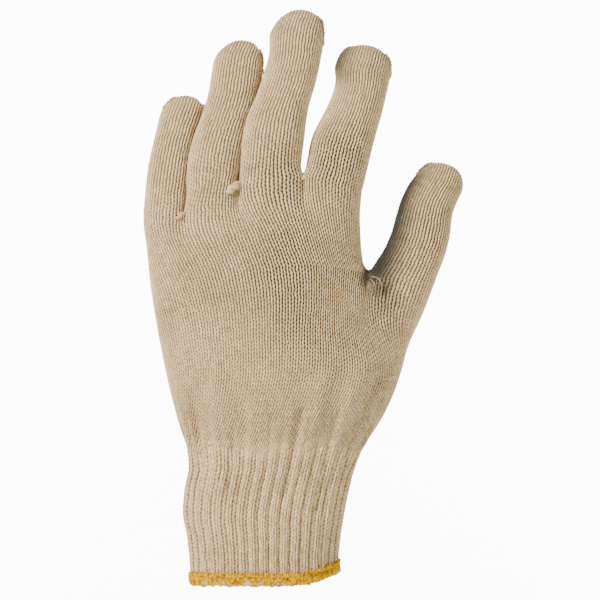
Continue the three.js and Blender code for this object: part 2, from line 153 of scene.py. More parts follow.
# The course that ends at the thumb's crotch: its height in millimetres at shares across, and
# the crotch's own share; how late the palm takes up its right edge; the top of the left edge
CROTCH_COURSE = [
    {"across": 0.0, "z": 130.1},
    {"across": 0.2, "z": 134.5},
    {"across": 0.45, "z": 138.3},
    {"across": 0.62, "z": 138.6},
    {"across": 0.78, "z": 135.4},
    {"across": 1.0, "z": 127.0},
]
CROTCH_ACROSS = 0.78
EDGE_PULL = 7
LEFT_TOP = 162.5

# How many wales the skin is turned round the hand to the thumb's side at a course; beside the
# thumb's crotch it keeps its place over this many wales
TWIST = [
    {"course": 0, "wales": 1.0},
    {"course": 8, "wales": 3.2},
    {"course": 18, "wales": 4.8},
    {"course": 30, "wales": 4.4},
    {"course": 45, "wales": 2.6},
    {"course": 56, "wales": 0.9},
    {"course": 66, "wales": 0.0},
]
TWIST_REACH = 15
TWIST_HELD_START = 18

# Ribs: how sharp their valleys are, over how many courses and how they run out into the hand
RIB_SHARPNESS = 1.4
RIB_FADE_COURSES = 18
RIB_FADE_SHAPE = 1.6

# Waves of the courses round the wrist: their height and reach in millimetres, the section that
# they go round, and for each the number round the wrist, its share and its shift
WRIST_WAVE = 1.1
WAVE_REACH = 9
WAVE_MIDDLE = 4.0
WAVE_ASPECT = 1.6
WAVES = ((5, 1.0, 0.0), (8, 0.7, 1.0), (13, 0.5, 2.0))

# Cuff sections in millimetres: height, edges, half depth, rib as a share of the rib depth, and
# how far they rise at the thumb's side; the share across where that rise begins, and how far
# the mouth rises all round and at the front
CUFF_ROWS = [
    {"z": 1.6, "left": -31.3, "right": 31.3, "half": 20.0, "rib": 0.4, "lift": 5.2},
    {"z": 5.5, "left": -32.0, "right": 32.0, "half": 20.5, "rib": 0.6, "lift": 4.7},
    {"z": 11.5, "left": -32.5, "right": 32.3, "half": 21.0, "rib": 1.0, "lift": 3.0},
    {"z": 21.2, "left": -33.5, "right": 33.2, "half": 21.5, "rib": 1.0, "lift": 1.1},
    {"z": 31.5, "left": -35.3, "right": 34.6, "half": 21.9, "rib": 1.0, "lift": 0.0},
    {"z": 42.4, "left": -34.5, "right": 36.8, "half": 21.9, "rib": 1.0, "lift": 0.0},
    {"z": 52.1, "left": -32.8, "right": 39.5, "half": 21.5, "rib": 0.9, "lift": 0.0},
    {"z": 60.6, "left": -33.7, "right": 42.8, "half": 21.3, "rib": 0.7, "lift": 0.0},
]
LIFT_START = 0.1
MOUTH_RISE = 1.1
MOUTH_FRONT_RISE = 1.5

# Soft folds on the back of the hand, over the wrist and at the thumb's crotch: ends, width and
# height in millimetres; they reach their full height where the skin has turned to the front
FOLDS = [
    {"x1": 14.0, "z1": 52.0, "x2": 27.0, "z2": 92.0, "width": 3.4, "height": 1.8},
    {"x1": 25.0, "z1": 50.0, "x2": 43.0, "z2": 94.0, "width": 3.6, "height": 2.0},
    {"x1": 9.0, "z1": 42.0, "x2": 16.5, "z2": 76.0, "width": 2.6, "height": -2.2},
    {"x1": 22.5, "z1": 36.0, "x2": 31.0, "z2": 74.0, "width": 2.8, "height": -2.4},
    {"x1": 33.0, "z1": 60.0, "x2": 50.0, "z2": 92.0, "width": 3.2, "height": -2.0},
    {"x1": -19.0, "z1": 46.0, "x2": -20.0, "z2": 96.0, "width": 3.4, "height": 1.8},
    {"x1": -27.0, "z1": 46.0, "x2": -29.0, "z2": 84.0, "width": 3.8, "height": -2.4},
    {"x1": -28.0, "z1": 88.0, "x2": -14.0, "z2": 74.0, "width": 4.6, "height": 1.2},
    {"x1": -10.0, "z1": 60.0, "x2": -8.0, "z2": 84.0, "width": 3.2, "height": -1.2},
    {"x1": 36.0, "z1": 118.0, "x2": 49.0, "z2": 132.0, "width": 4.5, "height": 1.4},
    {"x1": 46.0, "z1": 134.0, "x2": 51.0, "z2": 126.0, "width": 1.5, "height": 1.3},
    {"x1": 43.6, "z1": 133.0, "x2": 47.0, "z2": 125.0, "width": 1.3, "height": -1.3},
    {"x1": 49.5, "z1": 133.5, "x2": 54.0, "z2": 127.0, "width": 1.3, "height": -1.2},
]
FOLD_FADE = 3

# Finger tubes: place across the palm and back of their root in millimetres, lean to the thumb's
# side in degrees, curl of the tip to the palm's side, length and width; wales over the back of
# the hand, half the wales in the web on each side, courses below and over the tip
FINGERS = {
    "little_finger": {
        "x": -43.2, "y": 3.1, "z": 159.1, "lean": 9.1, "curl": 6.4, "length": 55.0,
        "width": 18.4, "front": 8, "web": (0, 2), "start": 0, "courses": 25, "tip_courses": 7,
        "rows": [
            {"along": 0.0, "middle": -0.04, "width": 0.98, "curl": 0.0},
            {"along": 0.15, "middle": -0.055, "width": 1.0, "curl": 0.02},
            {"along": 0.35, "middle": -0.085, "width": 1.0, "curl": 0.1},
            {"along": 0.55, "middle": -0.085, "width": 0.97, "curl": 0.25},
            {"along": 0.7, "middle": -0.05, "width": 0.98, "curl": 0.45},
            {"along": 0.8, "middle": -0.01, "width": 1.02, "curl": 0.62},
            {"along": 0.87, "middle": 0.025, "width": 1.0, "curl": 0.75},
            {"along": 1.0, "middle": 0.08, "width": 0.97, "curl": 1.0},
        ],
    },
    "ring_finger": {
        "x": -23.2, "y": 0.0, "z": 167.3, "lean": 10.2, "curl": 5.6, "length": 71.2,
        "width": 22.0, "front": 9, "web": (2, 1), "start": 8, "courses": 34, "tip_courses": 8,
        "rows": [
            {"along": 0.0, "middle": 0.0, "width": 0.98, "curl": 0.0},
            {"along": 0.1, "middle": -0.03, "width": 1.03, "curl": 0.01},
            {"along": 0.22, "middle": -0.05, "width": 1.06, "curl": 0.04},
            {"along": 0.35, "middle": -0.04, "width": 1.03, "curl": 0.1},
            {"along": 0.5, "middle": 0.02, "width": 0.98, "curl": 0.22},
            {"along": 0.65, "middle": 0.07, "width": 0.985, "curl": 0.4},
            {"along": 0.8, "middle": 0.06, "width": 0.99, "curl": 0.64},
            {"along": 0.87, "middle": 0.05, "width": 0.98, "curl": 0.76},
            {"along": 1.0, "middle": 0.12, "width": 0.95, "curl": 1.0},
        ],
    },
    "middle_finger": {
        "x": 2.4, "y": -3.7, "z": 176.0, "lean": 9.4, "curl": 3.2, "length": 75.0,
        "width": 24.4, "front": 10, "web": (1, 2), "start": 17, "courses": 36, "tip_courses": 8,
        "rows": [
            {"along": 0.0, "middle": 0.01, "width": 1.07, "curl": 0.0},
            {"along": 0.1, "middle": -0.035, "width": 1.07, "curl": 0.01},
            {"along": 0.25, "middle": -0.06, "width": 1.08, "curl": 0.04},
            {"along": 0.35, "middle": -0.05, "width": 1.03, "curl": 0.1},
            {"along": 0.45, "middle": -0.01, "width": 0.95, "curl": 0.17},
            {"along": 0.6, "middle": 0.055, "width": 0.93, "curl": 0.34},
            {"along": 0.72, "middle": 0.08, "width": 0.91, "curl": 0.5},
            {"along": 0.82, "middle": 0.06, "width": 0.96, "curl": 0.68},
            {"along": 0.87, "middle": 0.062, "width": 0.97, "curl": 0.77},
            {"along": 1.0, "middle": 0.12, "width": 0.94, "curl": 1.0},
        ],
    },
    "index_finger": {
        "x": 29.8, "y": -0.3, "z": 175.2, "lean": 13.4, "curl": 4.8, "length": 61.5,
        "width": 25.0, "front": 12, "web": (2, 0), "start": 27, "courses": 29, "tip_courses": 8,
        "rows": [
            {"along": -0.1, "middle": -0.01, "width": 0.98, "curl": 0.0},
            {"along": 0.0, "middle": 0.01, "width": 1.03, "curl": 0.0},
            {"along": 0.12, "middle": 0.0, "width": 1.05, "curl": 0.01},
            {"along": 0.28, "middle": -0.005, "width": 1.05, "curl": 0.06},
            {"along": 0.42, "middle": 0.04, "width": 0.98, "curl": 0.15},
            {"along": 0.56, "middle": 0.085, "width": 0.92, "curl": 0.28},
            {"along": 0.7, "middle": 0.09, "width": 0.91, "curl": 0.46},
            {"along": 0.8, "middle": 0.055, "width": 0.97, "curl": 0.62},
            {"along": 0.86, "middle": 0.06, "width": 0.93, "curl": 0.74},
            {"along": 1.0, "middle": 0.08, "width": 0.86, "curl": 1.0},
        ],
    },
    "thumb": {
        "x": 58.0, "y": 4.1, "z": 128.3, "lean": 18.3, "curl": 8.8, "length": 59.4,
        "width": 25.6, "front": 12, "web": (1, 0), "start": 38, "courses": 29, "tip_courses": 8,
        "rows": [
            {"along": -0.1, "middle": -0.02, "width": 1.09, "curl": 0.0},
            {"along": 0.02, "middle": 0.015, "width": 1.07, "curl": 0.0},
            {"along": 0.2, "middle": 0.053, "width": 1.01, "curl": 0.06},
            {"along": 0.38, "middle": 0.082, "width": 0.98, "curl": 0.16},
            {"along": 0.52, "middle": 0.06, "width": 0.96, "curl": 0.28},
            {"along": 0.65, "middle": 0.03, "width": 0.9, "curl": 0.42},
            {"along": 0.77, "middle": 0.06, "width": 0.87, "curl": 0.6},
            {"along": 0.86, "middle": 0.11, "width": 0.83, "curl": 0.75},
            {"along": 1.0, "middle": 0.14, "width": 0.74, "curl": 1.0},
        ],
    },
}

# Fingertips: where they begin, how high their edge closes in shares of their height, how full
# the closing line's arch is, how much narrower they get, and how softly they set in
TIP_START = 0.82
TIP_EDGE = 0.12
TIP_ROUNDNESS = 1.25
TIP_PULL = 0.08
TIP_START_SOFTNESS = 1.35

# A finger's depth as a share of its width
FINGER_ROUNDNESS = 0.9

# Where neighbouring tubes part, from the little finger's side, in millimetres, over how many
# courses they take their own width there, and how far the skin is evened out round that place;
# the first and the last are the outer ends of the course there
ROOT_COURSE = [
    {"x": -52.6, "z": 162.5, "fade": 9, "reach": 7.0},
    {"x": -35.3, "z": 159.9, "fade": 9, "reach": 7.0},
    {"x": -11.9, "z": 172.9, "fade": 9, "reach": 7.0},
    {"x": 16.7, "z": 177.2, "fade": 3, "reach": 3.0},
    {"x": 42.2, "z": 171.6, "fade": 9, "reach": 7.0},
]
THUMB_ROOT = [
    {"x": 45.3, "z": 135.4, "fade": 9, "reach": 6.0},
    {"x": 72.3, "z": 127.0, "fade": 9, "reach": 6.0},
]
PALM_FINGERS = ("little_finger", "ring_finger", "middle_finger", "index_finger")

# Evening out of the skin round the crotches: rounds, and where it ends in shares of the reach
SOFTEN_ROUNDS = 60
SOFTEN_EDGE = 1.4


def smooth(share):
    """Runs from 0 to 1 with soft ends"""
    share = np.clip(share, 0, 1)
    return share * share * (3 - 2 * share)


def follow(table, key, column, at):
    """Value of a table's column on a smooth curve through its rows"""
    knots = np.array([row[key] for row in table], dtype=float)
    values = np.array([row[column] for row in table], dtype=float)
    slopes = np.gradient(values, knots)
    at = np.clip(at, knots[0], knots[-1])
    low = np.clip(np.searchsorted(knots, at, side="right") - 1, 0, len(knots) - 2)
    width = knots[low + 1] - knots[low]
    t = (at - knots[low]) / width
    start = (1 + 2 * t) * (1 - t) ** 2 * values[low] + t * (1 - t) ** 2 * width * slopes[low]
    end = t * t * (3 - 2 * t) * values[low + 1] + t * t * (t - 1) * width * slopes[low + 1]
    return start + end


def unit_oval(aspect, shares):
    """Places across and in depth, from -1 to 1, on a rounded oval; shares of its edge run from
    its left end by the front, and aspect is its depth over its width"""
    angle = np.linspace(0, 2 * np.pi, 721)
    across = -np.sign(np.cos(angle)) * np.abs(np.cos(angle)) ** (2 / OVAL_POWER)
    depth = -np.sign(np.sin(angle)) * np.abs(np.sin(angle)) ** (2 / OVAL_POWER)
    run = np.hypot(np.diff(across), np.diff(depth) * aspect)
    length = np.concatenate(([0], np.cumsum(run)))
    place = np.mod(shares, 1) * length[-1]
    return np.interp(place, length, across), np.interp(place, length, depth)


def ring(wales, aspect, web, columns):
    """Places across and in depth of columns on a tube; with its webs drawn together, the
    columns in a web stand at the tube's edge"""
    across, depth = unit_oval(aspect, columns / wales)
    left, right = web
    left_limit = -unit_oval(aspect, np.array([left / wales]))[0][0]
    right_limit = unit_oval(aspect, np.array([0.5 - right / wales]))[0][0]
    drawn = np.where(across < 0, across / left_limit, across / right_limit)
    return across, np.clip(drawn, -1, 1), depth


def round_wales(finger):
    """Number of wales round a finger"""
    return 2 * (finger["front"] + sum(finger["web"]))


def ring_column(finger, column, wales):
    """Column on a finger's own tube of a column on the tube that it grows from"""
    left = finger["web"][0]
    front = column - finger["start"] + left
    back = round_wales(finger) - (wales - column - finger["start"] + left)
    return np.where(column <= wales / 2, front, back)


def turn(course, column, wales):
    """Wales that the skin is turned by at a course and column"""
    crotch = FINGERS["thumb"]["start"]
    away = np.maximum(np.maximum(crotch - column, column - wales + crotch), 0)
    upward = (course - TWIST_HELD_START) / (HAND_COURSES - TWIST_HELD_START)
    held = (1 - smooth(away / TWIST_REACH)) * smooth(upward)
    return follow(TWIST, "course", "wales", course) * (1 - held)


def rib_valley(turns):
    """Depth of the ribs' valleys, from 0 to 1, at a number of ribs from the left edge"""
    return ((1 + np.cos(2 * np.pi * turns)) / 2) ** RIB_SHARPNESS


def wavy(x, y, z):
    """Lifts and drops the courses round the wrist, where the ribs end unevenly"""
    turned = np.arctan2(y * WAVE_ASPECT, x - WAVE_MIDDLE)
    wave = sum(share * np.sin(count * turned + shift) for count, share, shift in WAVES)
    return z + WRIST_WAVE * wave * np.exp(-(((z - CUFF_ROWS[-1]["z"]) / WAVE_REACH) ** 2))


def fold_height(x, z):
    """How far the folds lift the skin at a place on the back of the hand"""
    height = np.zeros_like(x)
    for fold in FOLDS:
        run_x = fold["x2"] - fold["x1"]
        run_z = fold["z2"] - fold["z1"]
        share = ((x - fold["x1"]) * run_x + (z - fold["z1"]) * run_z) / (run_x**2 + run_z**2)
        share = np.clip(share, 0, 1)
        off_x = x - fold["x1"] - share * run_x
        off_z = z - fold["z1"] - share * run_z
        height += fold["height"] * np.exp(-(off_x**2 + off_z**2) / fold["width"] ** 2)
    return height


def with_folds(x, y, z, depth):
    """Depth of the skin with its folds, which fade towards the edges of the front"""
    return y - fold_height(x, z) * np.clip(-depth * FOLD_FADE, 0, 1)


def palm_middle(share):
    """Depth of the palm's middle surface at a place from -1 to 1 across"""
    edge = np.where(share > 0, PALM_SWING, LITTLE_EDGE_TO_BACK)
    return edge * share**2 - MIDDLE_TO_FRONT


def thumb_root_depths():
    """Depth of the middle surface at the inner and the outer end of the thumb's root"""
    return palm_middle(1.0), FINGERS["thumb"]["y"] + THUMB_TO_BACK


def finger_half_depth(finger, along):
    return follow(finger["rows"], "along", "width", along) * finger["width"] * FINGER_ROUNDNESS / 2


def hand_points(rows, columns):
    """The skin from the wrist to the course of the thumb's crotch"""
    course, column = np.meshgrid(rows, columns, indexing="ij")
    twist = turn(course, column, HAND_WALES)
    across = np.zeros_like(course)
    depth = np.zeros_like(course)
    for index, row in enumerate(rows):
        z = LEFT_EDGE[0]["z"] + row * COURSE_HEIGHT
        aspect = 2 * follow(HAND_DEPTH, "z", "half", z) / (WRIST_WIDTH + row)
        turned = (columns + twist[index]) / HAND_WALES
        across[index], depth[index] = unit_oval(aspect, turned)
    body = (across + 1) / 2

    thumb = FINGERS["thumb"]
    palm_part = (column <= thumb["start"]) | (column >= HAND_WALES - thumb["start"])
    palm_column = np.where(column <= HAND_WALES / 2, column, column - HAND_WALES + PALM_WALES)
    palm_column = palm_column + twist
    _, palm_drawn, palm_depth = ring(PALM_WALES, PALM_ASPECT, PALM_WEB, palm_column)
    thumb_column = ring_column(thumb, column, HAND_WALES)
    _, thumb_drawn, thumb_depth = ring(
        round_wales(thumb), FINGER_ROUNDNESS, thumb["web"], thumb_column)
    palm_share = (palm_drawn + 1) / 2
    thumb_share = (thumb_drawn + 1) / 2
    lobes = np.where(
        palm_part,
        CROTCH_ACROSS * palm_share,
        CROTCH_ACROSS + (1 - CROTCH_ACROSS) * thumb_share,
    )
    parted = smooth((course - PARTING_START) / (HAND_COURSES - PARTING_START))
    share = body + (lobes - body) * parted
    rise = course / HAND_COURSES
    wrist = LEFT_EDGE[0]["z"]
    z = wrist + (follow(CROTCH_COURSE, "across", "z", share) - wrist) * rise
    left = follow(LEFT_EDGE, "z", "x", wrist + (CROTCH_COURSE[0]["z"] - wrist) * rise)
    right = follow(HAND_RIGHT_EDGE, "z", "x", wrist + (CROTCH_COURSE[-1]["z"] - wrist) * rise)
    x = left + (right - left) * share

    half = follow(HAND_DEPTH, "z", "half", z)
    swing = follow(HAND_DEPTH, "z", "swing", z)
    bend = follow(HAND_DEPTH, "z", "bend", z)
    place = 2 * share - 1
    edge = np.where(place > 0, swing, LITTLE_EDGE_TO_BACK * bend)
    ribs = (column + twist) / HAND_WALES * CUFF_WALES / WALES_PER_RIB
    fade = np.clip(1 - course / RIB_FADE_COURSES, 0, 1) ** RIB_FADE_SHAPE
    ribbed = sizes().rib_depth / MM * CUFF_ROWS[-1]["rib"] * rib_valley(ribs) * fade
    x = x - across * ribbed
    body_y = edge * place**2 - MIDDLE_TO_FRONT * bend + depth * (half - ribbed)
    palm_y = palm_middle(2 * palm_share - 1) + palm_depth * half
    inner, outer = thumb_root_depths()
    thumb_middle = inner + (outer - inner) * thumb_share
    thumb_y = thumb_middle + thumb_depth * finger_half_depth(thumb, THUMB_ROOT_ALONG)
    lobe_y = np.where(palm_part, palm_y, thumb_y)
    deepened = (course - DEPTH_PARTING_START) / (HAND_COURSES - DEPTH_PARTING_START)
    y = body_y + (lobe_y - body_y) * smooth(deepened)
    y = with_folds(x, y, z, depth)
    return np.stack([x, y, wavy(x, y, z)], axis=-1)


def palm_points(rows, columns):
    """The skin from the thumb's crotch to the course where the fingers part"""
    course, column = np.meshgrid(rows, columns, indexing="ij")
    rise = course / PALM_COURSES
    turned = column + turn(course + HAND_COURSES, column, PALM_WALES)
    across, drawn, depth = ring(PALM_WALES, PALM_ASPECT, PALM_WEB, turned)
    opened = smooth(course / WEB_COURSES)
    share = (drawn + (across - drawn) * opened + 1) / 2

    left_end = ROOT_COURSE[0]["x"]
    width = ROOT_COURSE[-1]["x"] - left_end
    lobes = np.zeros_like(share)
    lobe_y = np.zeros_like(share)
    lobe_z = np.zeros_like(share)
    for index, name in enumerate(PALM_FINGERS):
        finger = FINGERS[name]
        first = finger["start"]
        last = first + finger["front"]
        front_column = np.minimum(column, PALM_WALES - column)
        inside = (front_column >= first) & (front_column <= last)
        own = ring_column(finger, column, PALM_WALES)
        _, own_drawn, own_depth = ring(
            round_wales(finger), FINGER_ROUNDNESS, finger["web"], own)
        start, end = ROOT_COURSE[index], ROOT_COURSE[index + 1]
        own_share = (own_drawn + 1) / 2
        place = (start["x"] + (end["x"] - start["x"]) * own_share - left_end) / width
        swollen = own_depth * finger_half_depth(finger, 0) * LOBE_SWELL
        y = palm_middle(2 * place - 1) + swollen
        lobes = np.where(inside, place, lobes)
        lobe_y = np.where(inside, y, lobe_y)
        lobe_z = np.where(inside, start["z"] + (end["z"] - start["z"]) * own_share, lobe_z)
    parted = smooth((course - FINGER_PARTING_START) / (PALM_COURSES - FINGER_PARTING_START))
    share = share + (lobes - share) * parted
    low_z = follow(CROTCH_COURSE, "across", "z", share * CROTCH_ACROSS)
    high_z = np.interp(share, [(p["x"] - left_end) / width for p in ROOT_COURSE],
                       [p["z"] for p in ROOT_COURSE])
    z = low_z + (high_z - low_z) * rise
    low_left = CROTCH_COURSE[0]["z"]
    left = follow(LEFT_EDGE, "z", "x", low_left + (LEFT_TOP - low_left) * rise)
    low_right = PALM_RIGHT_EDGE[0]["z"]
    right_z = low_right + (PALM_RIGHT_EDGE[-1]["z"] - low_right) * rise
    right = follow(PALM_RIGHT_EDGE, "z", "x", right_z)
    low_x, high_x = PALM_RIGHT_EDGE[0]["x"], PALM_RIGHT_EDGE[-1]["x"]
    even = low_x + (high_x - low_x) * smooth(rise)
    x = left + (even - left) * share + (right - even) * share**EDGE_PULL
    half = follow(HAND_DEPTH, "z", "half", z)
    y = palm_middle(2 * share - 1) + depth * half
    y = y + (lobe_y - y) * parted
    return np.stack([x, with_folds(x, y, z, depth), z], axis=-1)


def finger_points(finger, rows, columns, ends, root_middle):
    """The skin of a finger from its root course to the closing line over its tip; ends are the
    left and right end of the root course, root_middle the depth there"""
    course, column = np.meshgrid(rows, columns, indexing="ij")
    lean = math.radians(finger["lean"])
    along_way = np.array([math.sin(lean), math.cos(lean)])
    across_way = np.array([math.cos(lean), -math.sin(lean)])
    root = np.array([finger["x"], finger["z"]])
    tube = np.clip(course / finger["courses"], 0, 1)
    over_share = np.clip((course - finger["courses"]) / finger["tip_courses"], 0, 1)
    over = over_share * np.pi / 2
    across, drawn, depth = ring(round_wales(finger), FINGER_ROUNDNESS, finger["web"], column)
    opened = smooth(course / WEB_COURSES)
    share = (drawn + (across - drawn) * opened + 1) / 2
    edges = []
    for side, end in zip((-1, 1), ends):
        offset = np.array([end["x"], end["z"]]) - root
        along_root = offset @ along_way
        along = along_root + (TIP_START * finger["length"] - along_root) * tube
        place = along / finger["length"]
        middle = follow(finger["rows"], "along", "middle", place)
        width = follow(finger["rows"], "along", "width", place)
        edge = (middle + side * width / 2) * finger["width"]
        root_place = along_root / finger["length"]
        root_edge = (
            follow(finger["rows"], "along", "middle", root_place)
            + side * follow(finger["rows"], "along", "width", root_place) / 2
        ) * finger["width"]
        edge = edge + (offset @ across_way - root_edge) * (1 - smooth(course / end["fade"]))
        edges.append((along, edge))
    along = edges[0][0] + (edges[1][0] - edges[0][0]) * share
    place = edges[0][1] + (edges[1][1] - edges[0][1]) * share
    round_top = np.abs(depth) ** TIP_ROUNDNESS
    height = (1 - TIP_START) * finger["length"]
    lift = height * np.sin(over) * (TIP_EDGE + (1 - TIP_EDGE) * round_top)
    along = along + lift
    pull = 1 - TIP_PULL * np.sin(over) ** 2
    centre = (edges[0][1] + edges[1][1]) / 2
    tip_shift = (
        follow(finger["rows"], "along", "middle", along / finger["length"])
        - follow(finger["rows"], "along", "middle", np.minimum(along / finger["length"], TIP_START))
    ) * finger["width"]
    place = centre + (place - centre) * pull + tip_shift
    half = finger_half_depth(finger, along / finger["length"])
    half = np.where(over > 0, finger_half_depth(finger, TIP_START), half)
    half = half * (1 + ROOT_SWELL * (1 - smooth(course / ROOT_SWELL_COURSES)))
    own_middle = finger["y"] + finger["curl"] * follow(
        finger["rows"], "along", "curl", along / finger["length"])
    middle = root_middle[0] + (root_middle[1] - root_middle[0]) * share
    middle = middle + (own_middle - middle) * smooth(course / CURL_COURSES)
    y = middle + depth * half * np.cos(np.pi / 2 * over_share**TIP_START_SOFTNESS)
    x = root[0] + across_way[0] * place + along_way[0] * along
    z = root[1] + across_way[1] * place + along_way[1] * along
    return np.stack([x, y, z], axis=-1)


def cuff_points(rows, columns):
    """The ribbed cuff from its mouth to the wrist"""
    course, column = np.meshgrid(rows, columns, indexing="ij")
    low, high = CUFF_ROWS[0]["z"], CUFF_ROWS[-1]["z"]
    z = low + (high - low) * course / CUFF_COURSES
    across, depth = unit_oval(CUFF_ASPECT, column / CUFF_WALES)
    left = follow(CUFF_ROWS, "z", "left", z)
    right = follow(CUFF_ROWS, "z", "right", z)
    half = follow(CUFF_ROWS, "z", "half", z)
    ribs = column / WALES_PER_RIB
    inset = sizes().rib_depth / MM * rib_valley(ribs) * follow(CUFF_ROWS, "z", "rib", z)
    x = (left + right) / 2 + across * ((right - left) / 2 - inset)
    y = depth * (half - inset)
    y = with_folds(x, y, z, depth)
    z = z + follow(CUFF_ROWS, "z", "lift", z) * mouth_rise(across, depth)
    return np.stack([x, y, wavy(x, y, z)], axis=-1)


def mouth_rise(across, depth):
    """How far the mouth rises at a place round it, in shares of the lift"""
    share = np.clip(across - LIFT_START, 0, 1) / (1 - LIFT_START)
    even = MOUTH_RISE + MOUTH_FRONT_RISE * np.clip(-depth, 0, 1)
    return share**3 + even / CUFF_ROWS[0]["lift"]


class Skin:
    """All points of the knitted skin; tubes that meet share their points"""

    def __init__(self):
        self.blocks = []
        self.count = 0
        self.tubes = {}

    def add_tube(self, name, points, shared, first_course, closed_tip=False):
        """shared maps a row and column of the new tube's grid to a point that exists"""
        rows, columns = points.shape[:2]
        grid = np.full((rows, columns), -1)
        for (row, column), index in shared.items():
            grid[row, column % columns] = index
        if closed_tip:
            for column in range(1, columns // 2):
                grid[-1, columns - column] = -2
        new = grid == -1
        block = points[new]
        grid[new] = np.arange(self.count, self.count + len(block))
        self.blocks.append(block)
        self.count += len(block)
        if closed_tip:
            for column in range(1, columns // 2):
                grid[-1, columns - column] = grid[-1, column]
        grid = np.concatenate([grid, grid[:, :1]], axis=1)
        self.tubes[name] = {"grid": grid, "first_course": first_course}
        return grid

    def finish(self):
        self.points = np.concatenate(self.blocks) * MM
        self.blocks = []

    def quads(self, names=None):
        parts = []
        for name in names or self.tubes:
            grid = self.tubes[name]["grid"]
            parts.append(quads_of(grid))
        return np.concatenate(parts)

    def soften(self, places, rounds):
        """Evens out the skin near the crotches, each with the reach of its own"""
        away = np.min([np.linalg.norm(self.points - centre, axis=1) / reach
                       for centre, reach in places], axis=0)
        weight = smooth(SOFTEN_EDGE - away)
        quads = self.quads([name for name in self.tubes if name != "cuff"])
        pairs = np.concatenate([quads[:, [a, b]] for a, b in ((0, 1), (1, 2), (2, 3), (3, 0))])
        pairs = pairs[(weight[pairs[:, 0]] > 0) | (weight[pairs[:, 1]] > 0)]
        ends = np.concatenate([pairs[:, 0], pairs[:, 1]])
        others = np.concatenate([pairs[:, 1], pairs[:, 0]])
        keep = weight[ends] > 0
        ends, others = ends[keep], others[keep]
        count = np.maximum(np.bincount(ends, minlength=self.count), 1)
        for _ in range(rounds):
            for axis in range(3):
                values = self.points[:, axis]
                mean = np.bincount(ends, values[others], minlength=self.count) / count
                moved = values + (mean - values) * weight
                self.points[:, axis] = np.where(weight > 0, moved, values)

    def find_outward(self):
        quads = self.quads()
        corner = self.points[quads]
        face = np.cross(corner[:, 2] - corner[:, 0], corner[:, 3] - corner[:, 1])
        self.outward = np.zeros_like(self.points)
        for axis in range(3):
            for place in range(4):
                self.outward[:, axis] += np.bincount(
                    quads[:, place], face[:, axis], minlength=self.count)
        length = np.linalg.norm(self.outward, axis=1, keepdims=True)
        self.outward /= np.maximum(length, SHORTEST)


def quads_of(grid):
    """The four corners of each face of a grid"""
    low = grid[:-1]
    high = grid[1:]
    quads = np.stack([low[:, :-1], low[:, 1:], high[:, 1:], high[:, :-1]], axis=-1)
    return quads.reshape(-1, 4)


@functools.lru_cache(maxsize=1)
def glove_skin():
    """The whole skin, from its tables, with shared points where tubes meet"""
    skin = Skin()
    rows = np.arange(CUFF_COURSES * COURSE_CUTS + 1) / COURSE_CUTS
    skin.add_tube("cuff", cuff_points(rows, np.arange(CUFF_WALES * WALE_CUTS) / WALE_CUTS), {}, 0)
    rows = np.arange(HAND_COURSES * COURSE_CUTS + 1) / COURSE_CUTS
    hand = skin.add_tube(
        "hand", hand_points(rows, np.arange(HAND_WALES * WALE_CUTS) / WALE_CUTS), {}, 0)

    thumb = FINGERS["thumb"]
    start = thumb["start"] * WALE_CUTS
    lost = (HAND_WALES - PALM_WALES) * WALE_CUTS
    shared = {(0, column): hand[-1, column] for column in range(start + 1)}
    last = PALM_WALES * WALE_CUTS
    for column in range(last - start, last):
        shared[0, column] = hand[-1, column + lost]
    rows = np.arange(PALM_COURSES * COURSE_CUTS + 1) / COURSE_CUTS
    palm = skin.add_tube(
        "palm", palm_points(rows, np.arange(last) / WALE_CUTS), shared, HAND_COURSES)

    shared = {}
    web = 2 * thumb["web"][0] * WALE_CUTS
    around = round_wales(thumb) * WALE_CUTS
    first = web // 2
    wide = (HAND_WALES - 2 * thumb["start"]) * WALE_CUTS
    for column in range(wide + 1):
        shared[0, first + column] = hand[-1, start + column]
    for column in range(1, web):
        shared[0, (first - column) % around] = palm[0, start + column]
    grow_finger(skin, "thumb", shared, HAND_COURSES, THUMB_ROOT, thumb_root_depths())

    webs = {}
    for index, name in enumerate(PALM_FINGERS):
        finger = FINGERS[name]
        around = round_wales(finger) * WALE_CUTS
        left = finger["web"][0] * WALE_CUTS
        front = finger["front"] * WALE_CUTS
        start = finger["start"] * WALE_CUTS
        shared = {}
        last_finger = name == PALM_FINGERS[-1]
        reach = 2 * front if last_finger else front
        for column in range(reach + 1):
            shared[0, left + column] = palm[-1, start + column]
        if not last_finger:
            for column in range(front + 1):
                back = (PALM_WALES * WALE_CUTS - start - column) % (PALM_WALES * WALE_CUTS)
                shared[0, (around - left - column) % around] = palm[-1, back]
        if index:
            for column, point in enumerate(webs[index - 1]):
                shared[0, (left - column) % around] = point
        ends = ROOT_COURSE[index:index + 2]
        left_end = ROOT_COURSE[0]["x"]
        width = ROOT_COURSE[-1]["x"] - left_end
        middles = [palm_middle(2 * (end["x"] - left_end) / width - 1) for end in ends]
        grid = grow_finger(skin, name, shared, KNIT_COURSES, ends, middles)
        if not last_finger:
            right = 2 * finger["web"][1] * WALE_CUTS
            webs[index] = [grid[0, left + front + column] for column in range(right + 1)]
    skin.finish()
    places = [(skin.points[web[len(web) // 2]], ROOT_COURSE[index + 1]["reach"] * MM)
              for index, web in webs.items()]
    places.append((skin.points[palm[0, (thumb["start"] + 1) * WALE_CUTS]],
                   THUMB_ROOT[0]["reach"] * MM))
    skin.soften(places, SOFTEN_ROUNDS)
    skin.find_outward()
    return skin


